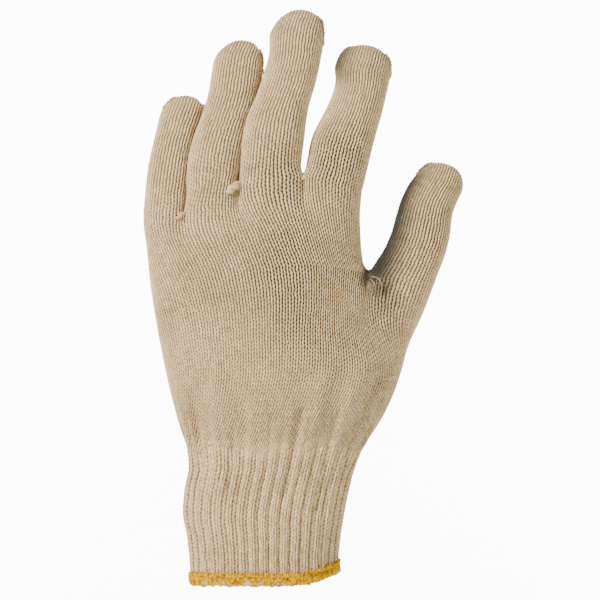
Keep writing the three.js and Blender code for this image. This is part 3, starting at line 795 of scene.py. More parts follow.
def grow_finger(skin, name, shared, first_course, ends, middles):
    finger = FINGERS[name]
    courses = finger["courses"] + finger["tip_courses"]
    rows = np.arange(courses * COURSE_CUTS + 1) / COURSE_CUTS
    columns = np.arange(round_wales(finger) * WALE_CUTS) / WALE_CUTS
    points = finger_points(finger, rows, columns, ends, middles)
    return skin.add_tube(name, points, shared, first_course, closed_tip=True)


def jitter(rng, rows, columns):
    """Unevenness of the stitches: smooth random shifts, none at the borders"""
    coarse = rng.normal(0, 1, (rows // COURSE_CUTS + 1, columns // WALE_CUTS + 1))
    coarse[0] = coarse[-1] = 0
    coarse[:, 0] = coarse[:, -1] = 0
    row_place = np.arange(rows + 1) / COURSE_CUTS
    column_place = np.arange(columns + 1) / WALE_CUTS
    low_row = np.minimum(row_place.astype(int), coarse.shape[0] - 2)
    low_column = np.minimum(column_place.astype(int), coarse.shape[1] - 2)
    row_share = (row_place - low_row)[:, None]
    column_share = (column_place - low_column)[None, :]
    a = coarse[low_row][:, low_column]
    b = coarse[low_row][:, low_column + 1]
    c = coarse[low_row + 1][:, low_column]
    d = coarse[low_row + 1][:, low_column + 1]
    low = a + (b - a) * column_share
    high = c + (d - c) * column_share
    return low + (high - low) * row_share


def toggle_sides(edges, grid, uv, i, j):
    """Notes the sides of a stitch's face; a side that two faces share is dropped again"""
    sides = (
        [(i, j + k) for k in range(WALE_CUTS + 1)],
        [(i + k, j + WALE_CUTS) for k in range(COURSE_CUTS + 1)],
        [(i + COURSE_CUTS, j + WALE_CUTS - k) for k in range(WALE_CUTS + 1)],
        [(i + COURSE_CUTS - k, j) for k in range(COURSE_CUTS + 1)],
    )
    for side in sides:
        a, b = grid[side[0]], grid[side[-1]]
        key = (min(a, b), max(a, b))
        if key in edges:
            del edges[key]
        else:
            edges[key] = ([grid[place] for place in side], [uv[place] for place in side])


def mesh_of_faces(name, points, loops, face_sizes, smooth_faces, uvs):
    """A mesh from its faces' corners; the first smooth_faces faces are shaded smooth"""
    mesh = bpy.data.meshes.new(name)
    mesh.vertices.add(len(points))
    mesh.vertices.foreach_set("co", points.astype(np.float32).ravel())
    mesh.loops.add(len(loops))
    mesh.loops.foreach_set("vertex_index", loops.astype(np.int32))
    mesh.polygons.add(len(face_sizes))
    starts = np.concatenate(([0], np.cumsum(face_sizes)[:-1]))
    mesh.polygons.foreach_set("loop_start", starts.astype(np.int32))
    mesh.update(calc_edges=True)
    mesh.polygons.foreach_set("use_smooth", np.arange(len(face_sizes)) < smooth_faces)
    layer = mesh.uv_layers.new(name="knit")
    layer.uv.foreach_set("vector", uvs.astype(np.float32).ravel())
    return mesh


def add_knit_attributes(mesh, points, outward, outer_count, finger):
    """What the relief and the material read; the lining, after outer_count points, stays flat"""
    relief = calmness(points)
    lean = follow(LEG_LEANS, "z", "lean", points[:, 2] / MM)
    if finger:
        along = (points[:, 2] / MM - finger["z"]) / finger["length"]
        relief *= 1 - TIP_FLATNESS * smooth((along - TIP_START) / TIP_CALMING)
        lean = lean + (FINGER_LEAN - lean) * smooth((along - LEAN_FROM) / LEAN_OVER)
    relief[outer_count:] = 0
    add_attribute(mesh, "outward", "FLOAT_VECTOR", "vector", outward)
    add_attribute(mesh, "relief", "FLOAT", "value", relief)
    add_attribute(mesh, "lean", "FLOAT", "value", lean)
    add_attribute(mesh, "open", "FLOAT", "value", openness(points))
    # Painted shade: how far each point darkens towards near-black, on fingers' sides and in spots
    add_attribute(mesh, "painted_shade", "FLOAT", "value", painted_shade_amount(points, outward))


def shell_mesh(name, patches, rng):
    """A closed wall of knit: the skin outside, a plain lining inside, and rims where it ends.
    A patch is a tube with its first and last mesh column"""
    skin = glove_skin()
    wall = sizes().wall
    outer_quads, outer_uv, inner_quads, inner_uv = [], [], [], []
    edges = {}
    for tube_name, first, last in patches:
        tube = skin.tubes[tube_name]
        grid = tube["grid"][:, first:last + 1]
        rows, columns = grid.shape[0] - 1, grid.shape[1] - 1
        v, u = np.meshgrid(np.arange(rows + 1) / COURSE_CUTS + tube["first_course"],
                           np.arange(first, last + 1) / WALE_CUTS, indexing="ij")
        u = u + jitter(rng, rows, columns) * sizes().unevenness
        v = v + jitter(rng, rows, columns) * sizes().unevenness
        uv = np.stack([u, v], axis=-1)
        outer_quads.append(quads_of(grid))
        outer_uv.append(corners_of(uv))
        coarse = grid[::COURSE_CUTS, ::WALE_CUTS]
        coarse_uv = uv[::COURSE_CUTS, ::WALE_CUTS]
        inner_quads.append(quads_of(coarse)[:, ::-1])
        inner_uv.append(corners_of(coarse_uv)[:, ::-1])
        for i in range(0, rows, COURSE_CUTS):
            for j in range(0, columns, WALE_CUTS):
                toggle_sides(edges, grid, uv, i, j)
    outer_quads = np.concatenate(outer_quads)
    inner_quads = np.concatenate(inner_quads)
    used = np.unique(outer_quads)
    lining = np.unique(inner_quads)
    outer_of = np.full(skin.count, -1)
    outer_of[used] = np.arange(len(used))
    inner_of = np.full(skin.count, -1)
    inner_of[lining] = len(used) + np.arange(len(lining))
    points = np.concatenate([
        skin.points[used],
        skin.points[lining] - skin.outward[lining] * wall,
    ])
    loops = [outer_of[outer_quads].ravel(), inner_of[inner_quads].ravel()]
    uvs = [np.concatenate(outer_uv).reshape(-1, 2), np.concatenate(inner_uv).reshape(-1, 2)]
    sizes_of_faces = [np.full(len(outer_quads), 4), np.full(len(inner_quads), 4)]
    for chain, chain_uv in edges.values():
        loop = [outer_of[index] for index in chain[::-1]]
        loop += [inner_of[chain[0]], inner_of[chain[-1]]]
        loops.append(np.array(loop))
        uvs.append(np.array(chain_uv[::-1] + [chain_uv[0], chain_uv[-1]]))
        sizes_of_faces.append(np.array([len(loop)]))
    face_sizes = np.concatenate(sizes_of_faces)
    smooth_faces = len(outer_quads) + len(inner_quads)
    mesh = mesh_of_faces(
        name, points, np.concatenate(loops), face_sizes, smooth_faces, np.concatenate(uvs))
    outward = np.concatenate([skin.outward[used], skin.outward[lining]])
    finger = FINGERS.get(name.removesuffix("_knit"))
    add_knit_attributes(mesh, points, outward, len(used), finger)
    mesh.validate()
    return mesh


def corners_of(field):
    """A grid's values at the four corners of each of its faces"""
    low = field[:-1]
    high = field[1:]
    corners = np.stack([low[:, :-1], low[:, 1:], high[:, 1:], high[:, :-1]], axis=2)
    return corners.reshape(-1, 4, 2)


def add_attribute(mesh, name, kind, field, values):
    attribute = mesh.attributes.new(name, kind, "POINT")
    attribute.data.foreach_set(field, values.astype(np.float32).ravel())


# Where the knit is drawn open: place on the back of the hand in millimetres, reach, amount
OPEN_PLACES = [
    {"x": 17.0, "z": 142.0, "reach": 22.0, "amount": 0.38},
    {"x": 30.0, "z": 118.0, "reach": 24.0, "amount": 0.6},
    {"x": 6.0, "z": 178.0, "reach": 17.0, "amount": 0.25},
    {"x": 33.0, "z": 186.0, "reach": 14.0, "amount": 0.45},
    {"x": -2.0, "z": 78.0, "reach": 16.0, "amount": 0.05},
    {"x": 70.0, "z": 155.0, "reach": 16.0, "amount": 0.2},
    {"x": -45.0, "z": 120.0, "reach": 18.0, "amount": -0.1},
    {"x": -30.0, "z": 130.0, "reach": 26.0, "amount": 0.2},
]
OPEN_EVERYWHERE = 0.6
OPEN_CUFF = 0.42

# Where the cuff meets the hand: how much flatter the relief is, and how far, in millimetres
SEAM_CALM = 0.45
SEAM_REACH = 2.5


def openness(points):
    """How open the knit is at each point, from 0 to 1"""
    x = points[:, 0] / MM
    z = points[:, 2] / MM
    amount = np.where(z < CUFF_ROWS[-1]["z"], OPEN_CUFF, OPEN_EVERYWHERE)
    for place in OPEN_PLACES:
        away = ((x - place["x"]) ** 2 + (z - place["z"]) ** 2) / place["reach"] ** 2
        amount += place["amount"] * np.exp(-away)
    return np.clip(amount, 0, 1) * calmness(points) ** 2


def calmness(points):
    """The relief is flatter where the ribs run out into the hand"""
    x, y = points[:, 0] / MM, points[:, 1] / MM
    seam = wavy(x, y, np.full(len(points), CUFF_ROWS[-1]["z"]))
    return 1 - SEAM_CALM * np.exp(-(((points[:, 2] / MM - seam) / SEAM_REACH) ** 2))


def painted_shade_amount(points, outward):
    """Painted shade in spots, and on the side of a finger that faces the little finger, on the front;
    it is darkest where the skin turns to that side
    """
    amount = np.zeros(len(points))
    for spot in PAINTED_SHADE_SPOTS:
        away = np.hypot(points[:, 0] / MM - spot["x"], points[:, 2] / MM - spot["z"])
        near = smooth(SPOT_EDGE - away / spot["reach"])
        near = near * smooth((SPOT_BACK - outward[:, 1]) / SHADE_TURN)
        amount = np.maximum(amount, near * spot["amount"])
    for row in PAINTED_SHADE_SIDES:
        finger = FINGERS[row["finger"]]
        lean = math.radians(finger["lean"])
        x = points[:, 0] / MM - finger["x"]
        z = points[:, 2] / MM - finger["z"]
        along = (x * math.sin(lean) + z * math.cos(lean)) / finger["length"]
        across = (x * math.cos(lean) - z * math.sin(lean)) / finger["width"]
        turned = -outward[:, 0] * math.cos(lean) + outward[:, 2] * math.sin(lean)
        side = smooth((turned - SHADE_FROM) / (SHADE_FULL - SHADE_FROM))
        reach = row["wide_low"] + (row["wide_high"] - row["wide_low"]) * np.clip(along, 0, 1)
        from_edge = across - follow(finger["rows"], "along", "middle", along) + 0.5
        side = np.maximum(side, smooth(1 - from_edge / reach))
        side *= smooth((row["high"] - along) / SHADE_TOP_FADE)
        side *= smooth((along - row["low"]) / SHADE_ROOT_FADE)
        side *= smooth((SHADE_BESIDE - np.abs(across)) / SHADE_BESIDE_FADE)
        side *= smooth((SHADE_BACK - outward[:, 1]) / SHADE_TURN)
        amount = np.maximum(amount, side * row["amount"])
    return amount


# Painted shade on the sides of fingers: between which shares of a finger's length, how much,
# and how wide at the root and at the tip, in shares of its width; spots of painted shade in
# millimetres
PAINTED_SHADE_SIDES = [
    {"finger": "thumb", "low": -0.12, "high": 1.08, "amount": 1.0,
     "wide_low": 0.66, "wide_high": 0.28},
    {"finger": "index_finger", "low": 0.6, "high": 1.3, "amount": 0.85,
     "wide_low": 0.08, "wide_high": 0.1},
    {"finger": "middle_finger", "low": 0.7, "high": 1.3, "amount": 0.3,
     "wide_low": 0.1, "wide_high": 0.1},
]
PAINTED_SHADE_SPOTS = [
    {"x": 46.5, "z": 133.6, "reach": 3.0, "amount": 0.9},
    {"x": 50.0, "z": 130.5, "reach": 6.0, "amount": 0.72},
    {"x": 52.0, "z": 124.5, "reach": 7.0, "amount": 0.4},
    {"x": -45.5, "z": 116.0, "reach": 8.0, "amount": 0.14},
    {"x": -29.0, "z": 75.0, "reach": 8.0, "amount": 0.13},
]

# How the painted shade fades: by how far the skin has turned to the side and to the back,
# towards both ends of a finger, beside it, and at the edge of a spot
SHADE_FROM = 0.1
SHADE_FULL = 0.95
SHADE_BACK = 0.6
SHADE_TURN = 0.5
SHADE_TOP_FADE = 0.3
SHADE_ROOT_FADE = 0.2
SHADE_BESIDE = 0.75
SHADE_BESIDE_FADE = 0.15
SPOT_EDGE = 1.5
SPOT_BACK = 0.2

# How far the legs of the stitches lean, in shares, at a height in millimetres, and on a finger
LEG_LEANS = [
    {"z": 0.0, "lean": 1.1},
    {"z": 60.0, "lean": 1.25},
    {"z": 95.0, "lean": 1.3},
    {"z": 125.0, "lean": 1.0},
    {"z": 180.0, "lean": 0.9},
    {"z": 260.0, "lean": 0.8},
]
FINGER_LEAN = 0.45

# Shares of a finger's length: where the lean begins to change and over how much, and over how
# much the relief calms down at the tip
LEAN_FROM = 0.1
LEAN_OVER = 0.5
TIP_CALMING = 0.15


class Formula:
    """Chains of math nodes in one node tree"""

    def __init__(self, tree):
        self.tree = tree

    def do(self, operation, *values):
        node = self.tree.nodes.new("ShaderNodeMath")
        node.operation = operation
        for socket, value in zip(node.inputs, values):
            if isinstance(value, (int, float)):
                socket.default_value = value
            else:
                self.tree.links.new(value, socket)
        return node.outputs[0]


def add_leg_nodes(formula, u, v, lean, opened):
    """Height of the stitches' legs, from 0 to 1, at u in wales and v in courses"""
    do = formula.do
    half_width = do("MULTIPLY_ADD", opened, -LEG_THINNING, LEG_HALF_WIDTH)
    from_middle = do("ABSOLUTE", do("SUBTRACT", do("FRACT", u), 0.5))
    step = do("FRACT", v)
    heights = []
    for course in (0, 1):
        along = do("DIVIDE", do("ADD", step, course), LEG_LENGTH)
        aside = do("MULTIPLY", do("SUBTRACT", 0.5, along), do("MULTIPLY", lean, LEG_LEAN))
        off = do("SUBTRACT", do("SUBTRACT", from_middle, LEG_MIDDLE), aside)
        off = do("DIVIDE", off, half_width)
        from_half = do("ABSOLUTE", do("MULTIPLY_ADD", along, 2.0, -1.0))
        end = do("POWER", from_half, LEG_BLUNTNESS)
        left_over = do("SUBTRACT", do("SUBTRACT", 1.0, do("MULTIPLY", off, off)), end)
        heights.append(do("SQRT", do("MAXIMUM", left_over, 0.0)))
    return do("MAXIMUM", heights[0], heights[1])


def new_tree(name, kind, sockets):
    """A node group with named inputs and outputs and its two end nodes"""
    tree = bpy.data.node_groups.new(name, kind)
    for socket_name, direction, socket_type, default in sockets:
        socket = tree.interface.new_socket(socket_name, in_out=direction, socket_type=socket_type)
        if default is not None:
            socket.default_value = default
    return tree, tree.nodes.new("NodeGroupInput"), tree.nodes.new("NodeGroupOutput")


def named_field(tree, name, data_type):
    node = tree.nodes.new("GeometryNodeInputNamedAttribute")
    node.data_type = data_type
    node.inputs["Name"].default_value = name
    return node.outputs["Attribute"]


@functools.lru_cache(maxsize=1)
def relief_tree():
    """Raises the stitches' legs on a knitted wall"""
    tree, start, end = new_tree("Knit relief", "GeometryNodeTree", [
        ("Geometry", "INPUT", "NodeSocketGeometry", None),
        ("Yarn Height", "INPUT", "NodeSocketFloat", 0.0007),
        ("Material", "INPUT", "NodeSocketMaterial", None),
        ("Geometry", "OUTPUT", "NodeSocketGeometry", None),
    ])
    formula = Formula(tree)
    split = tree.nodes.new("ShaderNodeSeparateXYZ")
    tree.links.new(named_field(tree, "knit", "FLOAT_VECTOR"), split.inputs[0])
    lean = named_field(tree, "lean", "FLOAT")
    opened = named_field(tree, "open", "FLOAT")
    height = add_leg_nodes(formula, split.outputs[0], split.outputs[1], lean, opened)
    height = formula.do("SUBTRACT", height, YARN_SUNK)
    height = formula.do("MULTIPLY", height, named_field(tree, "relief", "FLOAT"))
    height = formula.do("MULTIPLY", height, start.outputs["Yarn Height"])
    offset = tree.nodes.new("ShaderNodeVectorMath")
    offset.operation = "SCALE"
    tree.links.new(named_field(tree, "outward", "FLOAT_VECTOR"), offset.inputs[0])
    tree.links.new(height, offset.inputs["Scale"])
    move = tree.nodes.new("GeometryNodeSetPosition")
    tree.links.new(start.outputs["Geometry"], move.inputs["Geometry"])
    tree.links.new(offset.outputs[0], move.inputs["Offset"])
    finish_tree(tree, move.outputs[0], start.outputs["Material"], end)
    return tree


def finish_tree(tree, geometry, material, end):
    real = tree.nodes.new("GeometryNodeRealizeInstances")
    paint = tree.nodes.new("GeometryNodeSetMaterial")
    tree.links.new(geometry, real.inputs[0])
    tree.links.new(real.outputs[0], paint.inputs["Geometry"])
    tree.links.new(material, paint.inputs["Material"])
    tree.links.new(paint.outputs[0], end.inputs["Geometry"])


def run_tree(obj, tree, values):
    """Runs a node tree on an object and leaves its result as the object's plain mesh"""
    modifier = obj.modifiers.new(tree.name, "NODES")
    modifier.node_group = tree
    identifiers = {item.name: item.identifier for item in tree.interface.items_tree
                   if item.item_type == "SOCKET" and item.in_out == "INPUT"}
    for name, value in values.items():
        modifier[identifiers[name]] = value
    graph = bpy.context.evaluated_depsgraph_get()
    result = bpy.data.meshes.new_from_object(obj.evaluated_get(graph), depsgraph=graph)
    obj.modifiers.remove(modifier)
    old = obj.data
    obj.data = result
    result.name = obj.name
    bpy.data.meshes.remove(old)
    return obj


@functools.lru_cache(maxsize=1)
def thread_tree():
    """Round threads along polylines, twisted round each other in pairs"""
    tree, start, end = new_tree("Twisted thread", "GeometryNodeTree", [
        ("Geometry", "INPUT", "NodeSocketGeometry", None),
        ("Thread Radius", "INPUT", "NodeSocketFloat", 0.0005),
        ("Spread", "INPUT", "NodeSocketFloat", 0.0),
        ("Turns per Metre", "INPUT", "NodeSocketFloat", 300.0),
        ("Step", "INPUT", "NodeSocketFloat", 0.0005),
        ("Sides", "INPUT", "NodeSocketInt", 6),
        ("Material", "INPUT", "NodeSocketMaterial", None),
        ("Geometry", "OUTPUT", "NodeSocketGeometry", None),
    ])
    link = tree.links.new
    do = Formula(tree).do
    curve = tree.nodes.new("GeometryNodeMeshToCurve")
    link(start.outputs["Geometry"], curve.inputs[0])
    spline = tree.nodes.new("GeometryNodeCurveSplineType")
    spline.spline_type = "CATMULL_ROM"
    link(curve.outputs[0], spline.inputs[0])
    resample = tree.nodes.new("GeometryNodeResampleCurve")
    resample.mode = "LENGTH"
    link(spline.outputs[0], resample.inputs["Curve"])
    link(start.outputs["Step"], resample.inputs["Length"])
    place = tree.nodes.new("GeometryNodeSplineParameter")
    tangent = tree.nodes.new("GeometryNodeInputTangent")
    normal = tree.nodes.new("GeometryNodeInputNormal")
    beside = tree.nodes.new("ShaderNodeVectorMath")
    beside.operation = "CROSS_PRODUCT"
    link(tangent.outputs[0], beside.inputs[0])
    link(normal.outputs[0], beside.inputs[1])
    circle = tree.nodes.new("GeometryNodeCurvePrimitiveCircle")
    link(start.outputs["Sides"], circle.inputs["Resolution"])
    link(start.outputs["Thread Radius"], circle.inputs["Radius"])
    join = tree.nodes.new("GeometryNodeJoinGeometry")
    turns = do("MULTIPLY", place.outputs["Length"], start.outputs["Turns per Metre"])
    angle = do("MULTIPLY", turns, 2 * math.pi)
    spread = do("MULTIPLY", start.outputs["Spread"], named_field(tree, "thickness", "FLOAT"))
    for ply in (0, 1):
        turned = do("ADD", angle, ply * math.pi)
        offset = None
        for operation, way in (("COSINE", normal.outputs[0]), ("SINE", beside.outputs[0])):
            part = tree.nodes.new("ShaderNodeVectorMath")
            part.operation = "SCALE"
            link(way, part.inputs[0])
            link(do("MULTIPLY", do(operation, turned), spread), part.inputs["Scale"])
            if offset is None:
                offset = part.outputs[0]
            else:
                both = tree.nodes.new("ShaderNodeVectorMath")
                link(offset, both.inputs[0])
                link(part.outputs[0], both.inputs[1])
                offset = both.outputs[0]
        move = tree.nodes.new("GeometryNodeSetPosition")
        link(resample.outputs[0], move.inputs["Geometry"])
        link(offset, move.inputs["Offset"])
        tube = tree.nodes.new("GeometryNodeCurveToMesh")
        link(move.outputs[0], tube.inputs["Curve"])
        link(circle.outputs[0], tube.inputs["Profile Curve"])
        link(named_field(tree, "thickness", "FLOAT"), tube.inputs["Scale"])
        tube.inputs["Fill Caps"].default_value = True
        link(tube.outputs[0], join.inputs[0])
    finish_tree(tree, join.outputs[0], start.outputs["Material"], end)
    return tree


def polyline_mesh(name, paths):
    """A mesh of polylines; a path is a list of points, a thickness for each and its painted shade"""
    points, edges, thickness, painted_shade = [], [], [], []
    for path, widths, painted_darkness in paths:
        first = len(points)
        points.extend(path)
        thickness.extend(widths)
        painted_shade.extend([painted_darkness] * len(path))
        edges.extend((first + i, first + i + 1) for i in range(len(path) - 1))
    mesh = bpy.data.meshes.new(name)
    mesh.from_pydata([tuple(point) for point in points], edges, [])
    add_attribute(mesh, "thickness", "FLOAT", "value", np.array(thickness))
    add_attribute(mesh, "painted_shade", "FLOAT", "value", np.array(painted_shade))
    return mesh


def make_threads(name, paths, material, node, slot_name, **values):
    obj = show(polyline_mesh(name, paths))
    run_tree(obj, thread_tree(), {"Material": material, **values})
    obj.data.shade_smooth()
    return finish_piece(obj, slot_name, node)


def finish_piece(obj, slot_name, *nodes):
    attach(obj, "root")
    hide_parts(*nodes)
    return obj


def show(mesh):
    obj = bpy.data.objects.new(mesh.name, mesh)
    bpy.context.scene.collection.objects.link(obj)
    return obj


def sizes():
    return bpy.context.scene.glove_sizes


def colours():
    return bpy.context.scene.glove_colours


# Painted shade in the gaps of the knit: how sharply it sets in, how dark it is where the knit is
# closed and how much more where it is open; the plies of the yarn: their height as a share of a
# leg's, and their number across a wale and along a course
GAP_SHARPNESS = 1.3
GAP_CLOSED = 0.35
GAP_OPENED = 0.65
PLY_HEIGHT = 0.06
PLIES_ACROSS = 4.0
PLIES_ALONG = 2.0

# Shares of a stitch's own shade, of soft blotches and of grain in the cotton's unevenness, and
# how each noise is spread: its factor and its shift
STITCH_SHARE = 0.45
BLOTCH_SHARE = 0.55
GRAIN_SHARE = 0.6
BLOTCH_SPREAD = (1.6, -0.3)
GRAIN_SPREAD = (3.0, -1.5)
SPECK_SPREAD = (0.5, -0.12)
STRING_SPREAD = (1.8, 0.1)
THREAD_SPREAD = (3.2, -1.25)

# Finish of the threads, strength of their fine relief and its height in metres where they aren't
# knitted; how dark the floor's blotches are
COTTON_ROUGHNESS = 0.95
KNIT_SPECULAR = 0.1
KNIT_SHEEN = 0.08
STRING_SHEEN = 0.25
THREAD_SPECULAR = 0.03
KNIT_BUMP = 0.8
FIBRE_BUMP = 0.35
STRING_BUMP = 0.6
STRING_BUMP_HEIGHT = 0.0002
FLOOR_SHADE = 0.96


def node_group(tree, group, values):
    node = tree.nodes.new("ShaderNodeGroup")
    node.node_tree = group
    for name, value in values.items():
        node.inputs[name].default_value = value
    return node


@functools.lru_cache(maxsize=1)
def loops_group():
    """Stitch legs as a height, the painted shade in the gaps between them as a mask, and a random
    tone for each leg
    """
    tree, start, end = new_tree("Knit loops", "ShaderNodeTree", [
        ("Knit", "INPUT", "NodeSocketVector", None),
        ("Open", "INPUT", "NodeSocketFloat", 0.5),
        ("Lean", "INPUT", "NodeSocketFloat", 1.0),
        ("Height", "OUTPUT", "NodeSocketFloat", None),
        ("Gap Shade", "OUTPUT", "NodeSocketFloat", None),
        ("Stitch Shade", "OUTPUT", "NodeSocketFloat", None),
    ])
    formula = Formula(tree)
    do = formula.do
    split = tree.nodes.new("ShaderNodeSeparateXYZ")
    tree.links.new(start.outputs["Knit"], split.inputs[0])
    u, v = split.outputs[0], split.outputs[1]
    height = add_leg_nodes(formula, u, v, start.outputs["Lean"], start.outputs["Open"])
    gap_shade_mask = do("POWER", do("SUBTRACT", 1.0, height), GAP_SHARPNESS)
    gap_shade_mask = do("MULTIPLY", gap_shade_mask, do("MULTIPLY_ADD", start.outputs["Open"], GAP_OPENED, GAP_CLOSED))
    cell = tree.nodes.new("ShaderNodeCombineXYZ")
    tree.links.new(do("FLOOR", do("MULTIPLY", u, 2.0)), cell.inputs[0])
    tree.links.new(do("FLOOR", v), cell.inputs[1])
    random = tree.nodes.new("ShaderNodeTexWhiteNoise")
    random.noise_dimensions = "2D"
    tree.links.new(cell.outputs[0], random.inputs["Vector"])
    winding = do("ADD", do("MULTIPLY", u, PLIES_ACROSS), do("MULTIPLY", v, PLIES_ALONG))
    plies = do("SINE", do("MULTIPLY", winding, 2 * math.pi))
    height = do("ADD", height, do("MULTIPLY", plies, PLY_HEIGHT))
    tree.links.new(height, end.inputs["Height"])
    tree.links.new(gap_shade_mask, end.inputs["Gap Shade"])
    tree.links.new(random.outputs["Value"], end.inputs["Stitch Shade"])
    return tree


@functools.lru_cache(maxsize=1)
def fibre_group():
    """Fine fibres and soft blotches of cotton"""
    tree, start, end = new_tree("Cotton fibres", "ShaderNodeTree", [
        ("Place", "INPUT", "NodeSocketVector", None),
        ("Fibre Scale", "INPUT", "NodeSocketFloat", 2600.0),
        ("Grain Scale", "INPUT", "NodeSocketFloat", 750.0),
        ("Blotch Scale", "INPUT", "NodeSocketFloat", 45.0),
        ("Fibres", "OUTPUT", "NodeSocketFloat", None),
        ("Grain", "OUTPUT", "NodeSocketFloat", None),
        ("Blotches", "OUTPUT", "NodeSocketFloat", None),
    ])
    for scale_name, out_name, detail in (
        ("Fibre Scale", "Fibres", 3.0),
        ("Grain Scale", "Grain", 2.0),
        ("Blotch Scale", "Blotches", 4.0),
    ):
        noise = tree.nodes.new("ShaderNodeTexNoise")
        noise.inputs["Detail"].default_value = detail
        tree.links.new(start.outputs["Place"], noise.inputs["Vector"])
        tree.links.new(start.outputs[scale_name], noise.inputs["Scale"])
        tree.links.new(noise.outputs[0], end.inputs[out_name])
    return tree


def mix_colour(tree, share, first, second):
    node = tree.nodes.new("ShaderNodeMix")
    node.data_type = "RGBA"
    node.clamp_factor = True
    colour_a, colour_b = [socket for socket in node.inputs if socket.type == "RGBA"]
    for socket, value in ((node.inputs["Factor"], share), (colour_a, first), (colour_b, second)):
        if isinstance(value, bpy.types.NodeSocket):
            tree.links.new(value, socket)
        else:
            socket.default_value = value
    return [socket for socket in node.outputs if socket.type == "RGBA"][0]


def new_material(name, fibre_values):
    """A material with its tree, its Principled shader and the fibres on its object's coordinates"""
    material = bpy.data.materials.new(name)
    material.use_nodes = True
    tree = material.node_tree
    place = tree.nodes.new("ShaderNodeTexCoord")
    fibres = node_group(tree, fibre_group(), fibre_values)
    tree.links.new(place.outputs["Object"], fibres.inputs["Place"])
    return material, tree, tree.nodes["Principled BSDF"], fibres


def attribute_field(tree, name):
    node = tree.nodes.new("ShaderNodeAttribute")
    node.attribute_name = name
    return node.outputs["Fac"]


def add_bump(tree, shader, height, distance, strength):
    bump = tree.nodes.new("ShaderNodeBump")
    bump.inputs["Distance"].default_value = distance
    bump.inputs["Strength"].default_value = strength
    tree.links.new(height, bump.inputs["Height"])
    tree.links.new(bump.outputs[0], shader.inputs["Normal"])


@functools.lru_cache(maxsize=None)
def knit_material(name):
    """Soft matte string in knitted loops, with painted shade between the loops, on the fingers' sides
    and in spots
    """
    shades = colours()
    material, tree, shader, fibres = new_material(name, {})
    do = Formula(tree).do
    knit = tree.nodes.new("ShaderNodeUVMap")
    knit.uv_map = "knit"
    loops = node_group(tree, loops_group(), {})
    tree.links.new(knit.outputs["UV"], loops.inputs["Knit"])
    tree.links.new(attribute_field(tree, "lean"), loops.inputs["Lean"])
    tree.links.new(attribute_field(tree, "open"), loops.inputs["Open"])
    blotch = do("MULTIPLY_ADD", fibres.outputs["Blotches"], *BLOTCH_SPREAD)
    blotch = do("MULTIPLY", blotch, BLOTCH_SHARE)
    uneven = do("MULTIPLY_ADD", loops.outputs["Stitch Shade"], STITCH_SHARE, blotch)
    grain = do("MULTIPLY_ADD", fibres.outputs["Grain"], *GRAIN_SPREAD)
    uneven = do("ADD", uneven, do("MULTIPLY", grain, GRAIN_SHARE))
    base = mix_colour(tree, uneven, shades.cotton_light[:], shades.cotton_shade[:])
    specks = do("MULTIPLY_ADD", fibres.outputs["Fibres"], *SPECK_SPREAD)
    base = mix_colour(tree, specks, base, shades.cotton_shade[:])
    # Painted shade: the gaps between the loops darken towards deep brown, more where the knit is open
    base = mix_colour(tree, loops.outputs["Gap Shade"], base, shades.gap[:])
    # Painted shade: near-black on the thumb's inner side, fingertip edges and spots by the crotches
    # and the palm's edge
    base = mix_colour(tree, attribute_field(tree, "painted_shade"), base, shades.painted_shade[:])
    tree.links.new(base, shader.inputs["Base Color"])
    height = do("MULTIPLY_ADD", fibres.outputs["Fibres"], FIBRE_BUMP, loops.outputs["Height"])
    add_bump(tree, shader, height, sizes().bump_height, KNIT_BUMP)
    shader.inputs["Roughness"].default_value = COTTON_ROUGHNESS
    shader.inputs["Specular IOR Level"].default_value = KNIT_SPECULAR
    shader.inputs["Sheen Weight"].default_value = KNIT_SHEEN
    return material


def plain_material(name, colour, roughness):
    """A plain matte surface with faint blotches"""
    material, tree, shader, fibres = new_material(name, {"Blotch Scale": 6.0, "Fibre Scale": 90.0})
    darker = tuple(FLOOR_SHADE * part for part in colour[:3]) + (1.0,)
    base = mix_colour(tree, fibres.outputs["Blotches"], colour, darker)
    tree.links.new(base, shader.inputs["Base Color"])
    shader.inputs["Roughness"].default_value = roughness
    return material


@functools.lru_cache(maxsize=1)
def cotton_string():
    """Soft cotton string, for what isn't knitted"""
    shades = colours()
    material, tree, shader, fibres = new_material(
        "Cotton string", {"Fibre Scale": 3000.0, "Blotch Scale": 160.0})
    share = Formula(tree).do("MULTIPLY_ADD", fibres.outputs["Blotches"], *STRING_SPREAD)
    base = mix_colour(tree, share, shades.cotton_light[:], shades.cotton_shade[:])
    # Painted shade: loops at the fingertip edges and yarn ends in the thumb's crotch darken towards
    # near-black
    base = mix_colour(tree, attribute_field(tree, "painted_shade"), base, shades.painted_shade[:])
    tree.links.new(base, shader.inputs["Base Color"])
    add_bump(tree, shader, fibres.outputs["Fibres"], STRING_BUMP_HEIGHT, STRING_BUMP)
    shader.inputs["Roughness"].default_value = COTTON_ROUGHNESS
    shader.inputs["Sheen Weight"].default_value = STRING_SHEEN
    return material


def thread_material():
    """Yellow overlock thread, matte, darker in random stretches"""
    shades = colours()
    material, tree, shader, fibres = new_material(
        "Hem thread", {"Fibre Scale": 3200.0, "Blotch Scale": 220.0})
    share = Formula(tree).do("MULTIPLY_ADD", fibres.outputs["Grain"], *THREAD_SPREAD)
    base = mix_colour(tree, share, shades.thread_light[:], shades.thread_dark[:])
    tree.links.new(base, shader.inputs["Base Color"])
    add_bump(tree, shader, fibres.outputs["Fibres"], STRING_BUMP_HEIGHT, STRING_BUMP)
    shader.inputs["Roughness"].default_value = COTTON_ROUGHNESS
    shader.inputs["Specular IOR Level"].default_value = THREAD_SPECULAR
    return material


